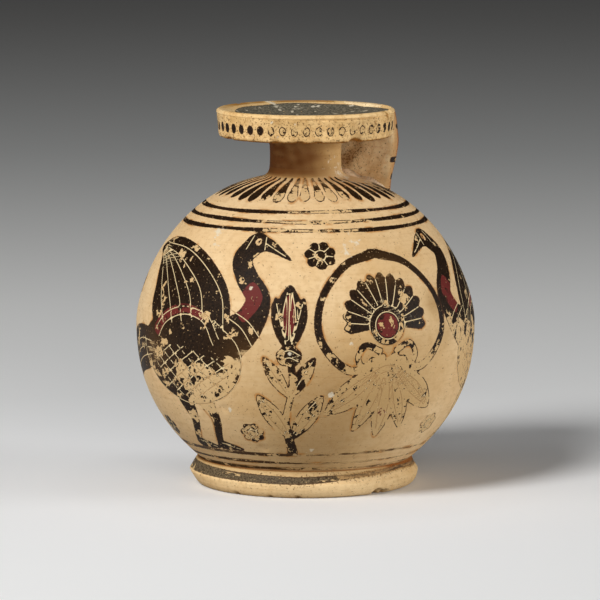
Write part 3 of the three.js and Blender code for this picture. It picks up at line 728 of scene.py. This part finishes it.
# The foot bulges a little at its left, above the edge.
spots = corners_of(foot)
bulge = hill(np.degrees(np.arctan2(spots[:, 1], spots[:, 0])) - FRONT, -92, 34) * stretch(spots[:, 2], 3.2, 8.2, 2.6)
bulge *= np.hypot(spots[:, 0], spots[:, 1]) > FOOT_EDGE - 3.5
put_corners(foot, spots * (1 + 0.036 * bulge[:, None] * (1, 1, 0)))
FOOT_CHIPS = (
    (-39, 0.2, 1.2, 0.6), (-19, 0.0, 1.1, 0.6), (-4, 0.0, 1.2, 0.6), (41, 0.2, 2.2, 1.5), (46, 0.2, 1.6, 1.0),
    (120, 0.5, 2.2, 0.9), (-140, 0.4, 2.6, 1.0),
)
for angle, z, radius, depth in FOOT_CHIPS:
    inward = round_the_pot(angle, -0.6, 0)
    chip(foot, round_the_pot(angle, FOOT_EDGE - 1.6, z), radius, depth, (inward[0], inward[1], 0.75))
coat = blank_coat(foot)
facing, radius, height = coat["facing"], coat["radius"], coat["spots"][:, 2]
on_side = radius > FOOT_EDGE - 3
band_middle = np.interp(facing, (-180, -71, -3, 13, 59, 110, 180), (5.8, 6.2, 5.5, 6.0, 7.3, 6.0, 5.8))
band_half = np.interp(facing, (-180, -71, -3, 16, 30, 90, 120, 180), (1.3, 1.4, 1.1, 0.9, 0.45, 0.5, 1.2, 1.3))
off_band = np.abs(height - band_middle)
worn_side = stretch(facing, 14, 110, 10)
coat["paint"] = np.where(on_side, off_band - band_half, FAR)
coat["loss"] = np.clip(0.10 + 0.16 * worn_side, 0, 1)
coat["wash"] = 0.16 + 0.34 * worn_side
# Painted shade: the crease under the globe is darkened, more on the right.
crease = 0.8 * hill(height, 8.35, 0.2) + 0.6 * hill(height, 8.0, 0.7) * stretch(facing, 50, 100, 8)
browned = 0.75 * worn_side * hill(off_band, 0, 0.7)
above_band = 0.28 * stretch(height - band_middle, 0.5, 9, 1) + 0.16 * stretch(facing, 40, 150, 20)
coat["stain_and_shade"] = np.where(on_side, np.clip(crease + browned + above_band, 0, 1), 0)
# Painted shade: the chips' hollows are darkened.
for angle, z, reach, depth in FOOT_CHIPS:
    coat["stain_and_shade"] = np.maximum(coat["stain_and_shade"], 0.9 * spot_of(coat, angle, z, reach * 0.6))
coat["pits"] = np.where(on_side, 0.15 + 0.5 * hill(off_band, 0, 1.3), 0)
keep_coat(foot, coat)
foot_clay = painted_clay("foot_clay", "#E8C48E", "#EFCF9C", "#C4965E", slip="#2A2118", worn="#8C7B5E", stain_and_shade="#8A5426",
                         soaking=0.0, flake_run=(0.3, 0.3, 1.3))
dress(foot, foot_clay, "foot_clay", "foot", "foot_luting")

# The neck
# A short thrown tube, a little hollow, luted between the crown and the mouth disc.
# Its left side is darkened brown as painted shade under the mouth disc.
neck_low, neck_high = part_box("neck")
NECK_RADIUS, UNDER_MOUTH = 10.95, neck_high.z / MM
share = np.linspace(0, 1, 28)
neck_side = np.column_stack([NECK_RADIUS + 0.4 * (2 * share - 1) ** 2, CROWN + (UNDER_MOUTH - CROWN) * share])
turn = np.linspace(0, math.pi / 2, 8)
neck_fillet = np.column_stack([neck_side[-1, 0] + 2.0 * (1 - np.cos(turn)), UNDER_MOUTH - 2.0 * (1 - np.sin(turn))])
neck_outline = [
    (BORE_RADIUS, CROWN), *neck_side[:-6], *neck_fillet, (neck_fillet[-1][0], UNDER_MOUTH + 0.2),
    (BORE_RADIUS, UNDER_MOUTH + 0.2), (BORE_RADIUS, CROWN),
]
neck = turned("neck_tube", neck_outline, 160, 50)
coat = blank_coat(neck)
# Painted shade: the stain share and its dark brown hold the mouth disc's shade, darkest on the left.
coat["stain_and_shade"] = neck_painted_shade(coat, coat["spots"][:, 2])
coat["chalk"] = 0.48 * spot_of(coat, 54, 97.5, 6)
coat["pits"] = np.full(len(coat["radius"]), 0.10)
keep_coat(neck, coat)
dress(neck, painted_clay("neck_clay", "#E3BC84", "#F0D2A0", stain_and_shade="#6E431E", mottling=0.7, streaks=0.95), "neck_clay", "neck", "mouth_luting")

# The mouth
# A thick disc thrown in one piece: an upright band with dots, a rounded lip over a groove,
# a bare rim and a shallow dish washed with dark slip, with the bore in its middle.
mouth_low, mouth_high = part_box("mouth")
CREST = mouth_high.z / MM
LIP = (mouth_high.x - mouth_low.x) / 2 / MM - 0.45
BAND_FOOT, BAND_CORNER, LIP_HEIGHT, LIP_ROUND, RIM_WIDTH = LIP - 0.6, 1.3, 1.3, 1.1, 2.6
DISH_DEPTH, RIM_FALL, DISH_HOLLOW = 4.2, 0.8, 1.6
turn = np.linspace(0, math.pi / 2, 8)
low_corner = np.column_stack([BAND_FOOT - BAND_CORNER * (1 - np.sin(turn)),
                              UNDER_MOUTH + BAND_CORNER * (1 - np.cos(turn))])
lip_foot = CREST - LIP_HEIGHT
side = evenly([low_corner[-1], (LIP - 0.15, lip_foot - 0.5)], 0.42)
groove = [(LIP - 0.2, lip_foot - 0.25), (LIP - 0.2, lip_foot), (LIP - 0.02, lip_foot + 0.2)]
lip = np.column_stack([LIP - LIP_ROUND + LIP_ROUND * np.cos(turn), lip_foot + 0.3 + (LIP_HEIGHT - 0.3) * np.sin(turn)])
DISH_RADIUS = LIP - LIP_ROUND - RIM_WIDTH
rim = evenly([lip[-1], (DISH_RADIUS, CREST - RIM_FALL)], 0.4)
dish_r = np.linspace(DISH_RADIUS, BORE_RADIUS, 34)
dish_share = (dish_r - BORE_RADIUS) / (DISH_RADIUS - BORE_RADIUS)
dish = np.column_stack([dish_r, CREST - DISH_DEPTH + (DISH_DEPTH - RIM_FALL) * dish_share ** DISH_HOLLOW])
mouth_outline = [
    (BORE_RADIUS, UNDER_MOUTH), (BAND_FOOT - 6, UNDER_MOUTH), *low_corner, *side[1:], *groove, *lip, *rim[1:],
    *dish[1:], (BORE_RADIUS - 0.01, CREST - DISH_DEPTH - 1), (BORE_RADIUS, UNDER_MOUTH),
]
mouth = turned("mouth_disc", mouth_outline, 400, 50)

# The dish lies off the middle, the groove is deep only at the right front, and the band is lumpy.
DISH_ASIDE = 1.7
coat = blank_coat(mouth)
spots, radius, facing = coat["spots"], coat["radius"], coat["facing"]
on_top = (spots[:, 2] > CREST - DISH_DEPTH - 1.5) & (radius < LIP - LIP_ROUND + 0.01) & (radius > BORE_RADIUS)
slide = np.where(radius < DISH_RADIUS, (radius - BORE_RADIUS) / (DISH_RADIUS - BORE_RADIUS),
                 (LIP - LIP_ROUND - radius) / RIM_WIDTH)
slide = DISH_ASIDE * np.where(on_top, np.clip(slide, 0, 1), 0)
aside = np.array(round_the_pot(90, 1.0, 0))
outward = np.column_stack([spots[:, 0], spots[:, 1], np.zeros(len(spots))]) / np.maximum(radius, 1)[:, None]
on_band = (radius > BAND_FOOT - BAND_CORNER) & (spots[:, 2] < lip_foot + 0.1)
at_groove = on_band & (np.abs(spots[:, 2] - lip_foot + 0.1) < 0.3)
swell = np.where(on_band, 0.05 * lumps(spots, 2.2, 3), 0) - np.where(at_groove, 0.3 * hill(facing, 36, 28), 0)
ragged = np.where(spots[:, 2] < UNDER_MOUTH + 1.6, 0.15 * np.clip(lumps(spots * (1, 1, 0), 1.3, 5) - 0.4, 0, 2), 0)
ragged *= np.clip((radius - BAND_FOOT + 3) / 3, 0, 1)
put_corners(mouth, spots + slide[:, None] * aside + swell[:, None] * outward + ragged[:, None] * np.array((0, 0, 1)))
MOUTH_CHIPS = (
    (35, UNDER_MOUTH, 2.8, 1.3), (-20, UNDER_MOUTH, 1.8, 0.5), (-4, UNDER_MOUTH, 2.2, 0.6), (8, UNDER_MOUTH, 2.0, 0.6),
    (-62, UNDER_MOUTH, 2.4, 0.7), (150, UNDER_MOUTH, 2.4, 0.8), (72, CREST, 1.2, 0.5), (-128, CREST, 1.6, 0.5),
)
for angle, z, reach, depth in MOUTH_CHIPS:
    inward = round_the_pot(angle, -0.5, 0)
    rise = 0.8 if z < CREST else -0.6
    chip(mouth, round_the_pot(angle, BAND_FOOT + 0.3, z), reach, depth, (inward[0], inward[1], rise))
DOTS, DOT_HEIGHT, DOT_RADIUS, DOT_PHASE = 46, 111.3, 1.18, 3.2
beat = np.abs(((facing + DOT_PHASE) / 360 * DOTS) % 1 - 0.5) * math.tau / DOTS * LIP
dots = np.hypot(beat, (spots[:, 2] - DOT_HEIGHT) * 0.78) - DOT_RADIUS
uneven = 0.35 * np.sin(np.radians(3 * facing + 40)) + 0.25 * np.sin(np.radians(7 * facing))
dish_here = radius - DISH_RADIUS - 0.1 + uneven
coat["paint"] = np.where(on_band & (radius > BAND_FOOT - 0.4), dots, np.where(on_top, dish_here, FAR))
coat["loss"] = np.where(on_band, 0.10 + 0.66 * stretch(facing, -28, 62, 16), -0.22)
far_left = stretch((facing + 360) % 360, 160, 264, 14)
rim_line = stretch(radius, LIP - LIP_ROUND - 1.3, LIP + 9, 0.5) * (spots[:, 2] > lip_foot) * far_left
rim_line *= np.clip(0.75 + 0.5 * lumps(spots, 4, 51), 0, 1)
crack = hill(facing - 66 + (spots[:, 2] - lip_foot) * 2.2, 0, 1.4) * hill(spots[:, 2], lip_foot, 1.5) * (radius > LIP - 1.2)
# Partly painted shade: a dark line along the underside of the band's lower edge, partly brown accretion.
low_edge = 1.3 * hill(spots[:, 2], UNDER_MOUTH + 0.05, 0.36) * (radius > BAND_FOOT - 4)
upper_band = 0.17 * stretch(spots[:, 2], 110.8, 130, 3.0) * (0.3 + 0.7 * stretch(facing, -40, 180, 16))
patchy = 0.10 * np.clip(lumps(spots, 6, 41), -1, 1.5) + 0.07 * lumps(spots, 2.4, 42)
coat["stain_and_shade"] = np.clip(0.75 * rim_line + 0.85 * crack + 0.8 * low_edge + np.where(on_band, 0.03 + upper_band + patchy, 0.03), 0, 1)
coat["chalk"] = np.where(on_band, 0.15, np.where(radius < DISH_RADIUS, 0.25, 0.04))
LIME_SPOTS = (
    (-6, 113.4, 1.0, 0.6), (-22, 114, 0.9, 0.6), (11, 109, 0.8, 0.5), (-48, 111, 0.8, 0.5), (-152, CREST, 1.3, 0.8),
)
for angle, z, reach, depth in LIME_SPOTS:
    coat["chalk"] = np.maximum(coat["chalk"], depth * spot_of(coat, angle, z, reach))
for angle, out, reach in np.random.default_rng(29).uniform((-180, 9, 0.35), (180, DISH_RADIUS, 0.95), (46, 3)):
    speck = np.hypot(*(spots[:, :2] - round_the_pot(angle, out, 0)[:2]).T) / reach
    coat["chalk"] = np.maximum(coat["chalk"], 0.9 * np.exp(-speck ** 2) * on_top * (radius < DISH_RADIUS))
coat["pits"] = np.where(on_band, 0.36 + 0.3 * low_edge, np.where(radius < DISH_RADIUS, 0.0, 0.08))
keep_coat(mouth, coat)
MOUTH_TONES = {"clay": "#ECC283", "pale": "#F2CE95", "dull": "#B17B3C", "stain_and_shade": "#A0682A", "mottling": 0.58,
               "streaks": 0.3, "dirt": 0.8, "soaking": 0.0}
dress(mouth, painted_clay("mouth_clay", **MOUTH_TONES), "mouth_clay", "mouth")
mouth.data.materials.append(painted_clay("worn_dish_slip", slip="#413E34", worn="#857C69", **MOUTH_TONES))
for face in mouth.data.polygons:
    corner = face.vertices[0]
    face.material_index = int(on_top[corner])

# The handle
# One strap of clay pulled by hand and pressed to the side of the mouth disc and to the shoulder.
# Its inner face was left rough, and dark bars cross its outer face.
handle_low, handle_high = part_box("handle")
STRAP_WIDTH = (handle_high.x - handle_low.x) / MM + 1.0
STRAP_THICK, STRAP_CORNER = 4.8, 1.9
HALF_THICK = STRAP_THICK / 2
FOOT_REACH = 26.8
strap_line = flowing([
    (FOOT_REACH - HALF_THICK, 85.5), (FOOT_REACH - HALF_THICK + 0.3, 91.5), (LIP + 1.7 - HALF_THICK, 98.0),
    (LIP + 3.0 - HALF_THICK, 104.0), (LIP + 2.5 - HALF_THICK, 109.2), (LIP + 1.3 - HALF_THICK, CREST - 1.2),
], step=0.8)
bpy.ops.object.select_all(action="DESELECT")
bpy.ops.mesh.primitive_plane_add(size=MM, location=(0, 0, 0))
handle = bpy.context.object
handle.name = handle.data.name = "strap_handle"
bpy.ops.object.mode_set(mode="EDIT")
bpy.ops.mesh.select_mode(type="VERT")
bpy.ops.mesh.select_all(action="SELECT")
bpy.ops.transform.resize(value=(STRAP_WIDTH, STRAP_THICK, 1))
bpy.ops.mesh.bevel(offset=STRAP_CORNER * MM, segments=6, affect="VERTICES")
bpy.ops.mesh.delete(type="ONLY_FACE")
bpy.ops.mesh.select_mode(type="EDGE")
bpy.ops.object.mode_set(mode="OBJECT")
for side_edge in handle.data.edges:
    a, b = (handle.data.vertices[i].co for i in side_edge.vertices)
    side_edge.select = (a - b).length > 3 * MM
bpy.ops.object.mode_set(mode="EDIT")
bpy.ops.mesh.subdivide(number_cuts=30)
bpy.ops.mesh.select_all(action="SELECT")
bpy.ops.transform.translate(value=(0, strap_line[0][0] * MM, strap_line[0][1] * MM))
lean = 0.0
for (y0, z0), (y1, z1) in zip(strap_line, strap_line[1:]):
    bpy.ops.mesh.extrude_region_move(TRANSFORM_OT_translate={"value": (0, (y1 - y0) * MM, (z1 - z0) * MM)})
    way = math.atan2(y1 - y0, z1 - z0)
    bpy.ops.transform.rotate(value=lean - way, orient_axis="X", center_override=(0, y1 * MM, z1 * MM))
    lean = way
for narrow, rise in ((0.97, 0.0), (0.93, 0.25), (0.82, 0.3), (0.62, 0.2)):
    bpy.ops.mesh.extrude_region_move(TRANSFORM_OT_translate={"value": (0, 0, rise * MM)})
    bpy.ops.transform.resize(value=(1 - (1 - narrow) * 0.35, narrow, 1), center_override=(0, y1 * MM, z1 * MM))
bpy.ops.mesh.edge_face_add()
bpy.ops.mesh.select_all(action="SELECT")
bpy.ops.mesh.normals_make_consistent(inside=False)
bpy.ops.object.mode_set(mode="OBJECT")
bpy.ops.object.shade_smooth_by_angle(angle=math.radians(50))
spots = corners_of(handle)
middle = np.interp(spots[:, 2], strap_line[:, 1], strap_line[:, 0])
through = spots[:, 1] - middle
inner_face = np.clip(-through / HALF_THICK, 0, 1)
near_edge = np.clip(np.abs(spots[:, 0]) - STRAP_WIDTH / 2 + 3, 0, 3) / 3
spots[:, 1] += inner_face * (0.30 * lumps(spots, 3.2, 7) + 0.14 * lumps(spots, 1.3, 8)) + 0.15 * lumps(spots, 9, 9)
spots[:, 0] += np.sign(spots[:, 0]) * near_edge * 0.22 * lumps(spots, 4.5, 11)
put_corners(handle, spots)
coat = blank_coat(handle)
spots = coat["spots"]
past_middle = through > 0.9
edge_line = np.abs(np.abs(spots[:, 0]) - (STRAP_WIDTH / 2 - 3.2)) - 0.7
coat["paint"] = np.where(past_middle, edge_line, FAR)
BARS = ((108.9, 0.3), (103.6, 1.6), (98.7, -1.2), (93.6, 0.3), (89.0, -1.0))  # height, and how far round the edge
for z, reach in BARS:
    bar = np.abs(spots[:, 2] - z - 0.04 * spots[:, 0]) - 0.9
    coat["paint"] = np.minimum(coat["paint"], np.maximum(bar, reach - through))
coat["loss"] = np.full(len(spots), 0.30)
scar = hill(spots[:, 0] + 0.5 * (98 - spots[:, 2]), -5.5, 4.2) * hill(spots[:, 2], 98.5, 5.0) * inner_face
outer_rim = hill(through, 1.5, 0.5) * (near_edge > 0.5)
# Painted shade of the mouth disc and the neck on the upper left of the inner face.
shaded = stretch(spots[:, 2], 99, 120, 8) * stretch(spots[:, 0], -20, 0, 8)
coat["stain_and_shade"] = np.clip(0.12 * lumps(spots, 4, 13) * inner_face + 0.10 * shaded * inner_face + 0.50 * scar
                        + 0.7 * outer_rim + 0.20 * near_edge + 0.36 * (1 - inner_face), 0, 1)
coat["pits"] = np.clip(inner_face * (0.12 + 0.65 * scar) + 0.10, 0, 1)
coat["chalk"] = 0.02 * inner_face + 0.22 * hill(spots[:, 2], 91.5, 2.0) * (inner_face > 0.3)
keep_coat(handle, coat)
# Painted light: the clay is paler than the other pieces so that the inner face, kept in shade by the mouth disc and the
# neck, reads brighter; the outer face is browned back by the stain share.
handle_clay = painted_clay("handle_clay", "#FFDEA6", "#FFE6B8", "#E0AC6C", slip="#0E0703", worn="#1E140B",
                           stain_and_shade="#8A4A1C", thin_stain_and_shade="#B98848", mottling=0.5, dirt=0.6, soaking=0.0)
dress(handle, handle_clay, "handle_clay", "handle")

# The slip round the handle's foot
# A skirt of thick slip wiped round the strap where it stands on the shoulder, thin and pale at its edge.


def smear(name, columns, rows, surface, thick):
    """A patch of slip laid on a surface given in mm for u and v from -1 to 1, thickened inwards."""
    bpy.ops.object.select_all(action="DESELECT")
    bpy.ops.mesh.primitive_grid_add(x_subdivisions=columns, y_subdivisions=rows, size=2)
    patch = bpy.context.object
    patch.name = patch.data.name = name
    flat = corners_of(patch) * MM
    put_corners(patch, np.column_stack(surface(flat[:, 0], flat[:, 1])))
    body = patch.modifiers.new("body", "SOLIDIFY")
    body.thickness, body.offset = thick * MM, -1
    bpy.ops.object.modifier_apply(modifier="body")
    bpy.ops.object.shade_smooth_by_angle(angle=math.radians(50))
    return patch


def skirt(u, v):
    x, y = 18 * u, 24.5 + 10.5 * v
    globe_top = WIDEST_HEIGHT + SHOULDER_RISE * (1 - (np.hypot(x, y) / GLOBE_RADIUS) ** SHOULDER_SIDE) ** (
        1 / SHOULDER_TOP)
    past_edge = np.maximum(np.abs(x) - STRAP_WIDTH / 2 + 1, 0) * np.where(x > 0, 1.9, 1)
    off = np.hypot(past_edge, np.maximum(np.abs(y - 24.2) - 1.6, 0)) - 0.8
    flat = np.column_stack([x, y, np.zeros(len(x))])
    near_neck = stretch(x, -40, -1.5, 6)
    run = (2.6 + 0.8 * lumps(flat, 5, 21)) * np.where(y > 25, 0.6, 1 + 0.5 * near_neck)
    rise = 1.3 + 2.7 * near_neck + 0.35 * lumps(flat, 4, 22)
    fillet = rise * np.clip(1 - np.maximum(off, 0) / run, 0, 1) ** 2
    web = 2.7 * stretch(x, -14, 2.5, 4.5) * stretch(y, 16.2, 27, 3.0) * (1 + 0.12 * lumps(flat, 3, 24))
    return x, y, globe_top + np.maximum(fillet, web) - 0.3


foot_slip = smear("handle_foot_slip", 90, 54, skirt, 1.0)
coat = blank_coat(foot_slip)
spots = coat["spots"]
at_strap = hill(spots[:, 1], 20.2, 2.4) * stretch(spots[:, 0], -12, 13, 2)
coat["chalk"] = 0.08 + 0.42 * at_strap + 0.14 * lumps(spots, 2.4, 23)
coat["pits"] = np.full(len(spots), 0.25)
keep_coat(foot_slip, coat)
# Partly painted light: the wiped slip is made very pale, which also brightens the ramp that the mouth disc keeps in
# shade.
slip_clay = painted_clay("wiped_slip_clay", "#F8DAB0", "#FFE8C8", "#D0A878", stain_and_shade="#7A5030", dirt=0.8)
dress(foot_slip, slip_clay, "luting_slip", "handle_base_luting")

# The slip at the handle's top
# A rough fillet in the corner between the strap and the underside of the disc.
FILLET_RISE, FILLET_RUN = 2.8, 2.6


def under_disc(u, v):
    x, s = 9.6 * u, (v + 1) / 2
    face = LIP + 2.3 - STRAP_THICK
    low = (face + 0.1, UNDER_MOUTH - FILLET_RISE)
    high = (face - FILLET_RUN, UNDER_MOUTH + 0.1)
    corner = (face - 0.7, UNDER_MOUTH - 0.8)
    y, z = ((1 - s) ** 2 * a + 2 * s * (1 - s) * k + s * s * b for a, k, b in zip(low, corner, high))
    rough = 0.18 * lumps(np.column_stack([x, y, z]), 1.8, 31) * (1 - (2 * s - 1) ** 2)
    sunk = 1.6 * np.abs(u) ** 5
    return x, y + rough + sunk, z - rough + sunk


top_slip = smear("handle_top_slip", 40, 10, under_disc, 1.2)
coat = blank_coat(top_slip)
coat["stain_and_shade"] = np.full(len(coat["radius"]), 0.6)
keep_coat(top_slip, coat)
dress(top_slip, slip_clay, "luting_slip", "handle_top_luting")

# Floor, light and view
# A pale floor whose tones are painted shade: a little darker right at the foot, as a contact shadow,
# and darkening away from the pot as light falls off. A large soft lamp from the upper left
# and a weaker one from the right. The view is fitted to the photo's rim, foot and painted circles.
bpy.ops.object.select_all(action="DESELECT")
bpy.ops.mesh.primitive_circle_add(vertices=128, radius=6, fill_type="NGON")
floor = bpy.context.object
floor.name = "floor"
paper = bpy.data.materials.new("pale_floor_paper")
paper.use_nodes = True
tree = paper.node_tree
tree.nodes.clear()
from_pot = node(tree, "VectorMath", {0: node(tree, "TexCoord", out=3)}, out=1, operation="LENGTH")
tones = tree.nodes.new("ShaderNodeValToRGB")
FADE_REACH = 3.0
tree.links.new(node(tree, "MapRange", {0: from_pot, 1: 0.0, 2: FADE_REACH}), tones.inputs[0])
# Painted shade: darker at the foot and darkening far from the pot.
FADE = (
    (0.0, "#E2E4E6"), (0.04, "#F2F3F4"), (0.085, "#FFFFFF"), (0.2, "#F8F8F7"), (0.44, "#F8F8F6"),
    (1.06, "#E3E4E2"), (2.0, "#D9D8D5"),
)
for distance, tone in FADE[1:-1]:
    tones.color_ramp.elements.new(distance / FADE_REACH)
for element, (distance, tone) in zip(tones.color_ramp.elements, FADE):
    element.position, element.color = distance / FADE_REACH, colour(tone)
seen = node(tree, "Math", {0: node(tree, "LightPath", out="Is Camera Ray"), 1: node(tree, "LightPath", out="Is Glossy Ray")},
            operation="MAXIMUM")
seen = node(tree, "Math", {0: seen, 1: node(tree, "LightPath", out="Is Transmission Ray")}, operation="MAXIMUM")
tone = node(tree, "Mix", {0: seen, 6: (0.39, 0.39, 0.39, 1), 7: tones.outputs[0]}, out=2, data_type="RGBA")
shader = node(tree, "BsdfPrincipled", {"Base Color": tone, "Roughness": 0.9, "Specular IOR Level": 0.1})
node(tree, "OutputMaterial", {0: shader})
floor.data.materials.append(paper)

PHOTO_SIDE = 600
TARGET_HEIGHT, DISTANCE, ELEVATION, FOCAL_PIXELS, AXIS_X = 0.05661, 1.521, 7.33, 4918, 305.5
toward = np.array([math.cos(math.radians(FRONT)), math.sin(math.radians(FRONT)), 0])
right = np.array([-toward[1], toward[0], 0])
LAMPS = (  # angle from the camera towards picture right, elevation, distance, size, watts
    ("key_lamp", -40, 41, 1.6, 0.54, 19.2),
    ("left_fill", -74, 14, 1.4, 0.7, 4.0),
    ("right_fill", 82, 6, 1.4, 0.7, 12.4),
    ("front_fill", 12, 7, 1.4, 0.9, 7.4),
)
for name, angle, rise, distance, size, watts in LAMPS:
    data = bpy.data.lights.new(name, "AREA")
    data.shape, data.size, data.energy = "DISK", size, watts
    lamp = bpy.data.objects.new(name, data)
    lamp.visible_camera = False
    bpy.context.scene.collection.objects.link(lamp)
    angle, rise = math.radians(angle), math.radians(rise)
    way = (toward * math.cos(angle) + right * math.sin(angle)) * math.cos(rise) + np.array([0, 0, math.sin(rise)])
    lamp.location = way * distance + np.array([0, 0, TARGET_HEIGHT])
    lamp.rotation_euler = Vector(-way).to_track_quat("-Z", "Y").to_euler()
world = bpy.data.worlds.new("studio_air")
world.use_nodes = True
world.node_tree.nodes["Background"].inputs[0].default_value = colour("#F2F4F6")
world.node_tree.nodes["Background"].inputs[1].default_value = 0.02
bpy.context.scene.world = world

camera_data = bpy.data.cameras.new("view")
camera_data.sensor_width = 36
camera_data.lens = FOCAL_PIXELS * camera_data.sensor_width / PHOTO_SIDE
camera_data.shift_x = -(AXIS_X - PHOTO_SIDE / 2) / PHOTO_SIDE
camera_data.clip_end = 20
camera = bpy.data.objects.new("view", camera_data)
bpy.context.scene.collection.objects.link(camera)
rise = math.radians(ELEVATION)
camera.location = toward * DISTANCE * math.cos(rise) + np.array([0, 0, TARGET_HEIGHT + DISTANCE * math.sin(rise)])
camera.rotation_euler = (math.pi / 2 - rise, 0, math.radians(FRONT) + math.pi / 2)
bpy.context.scene.camera = camera
bpy.context.scene.view_settings.view_transform = "Standard"
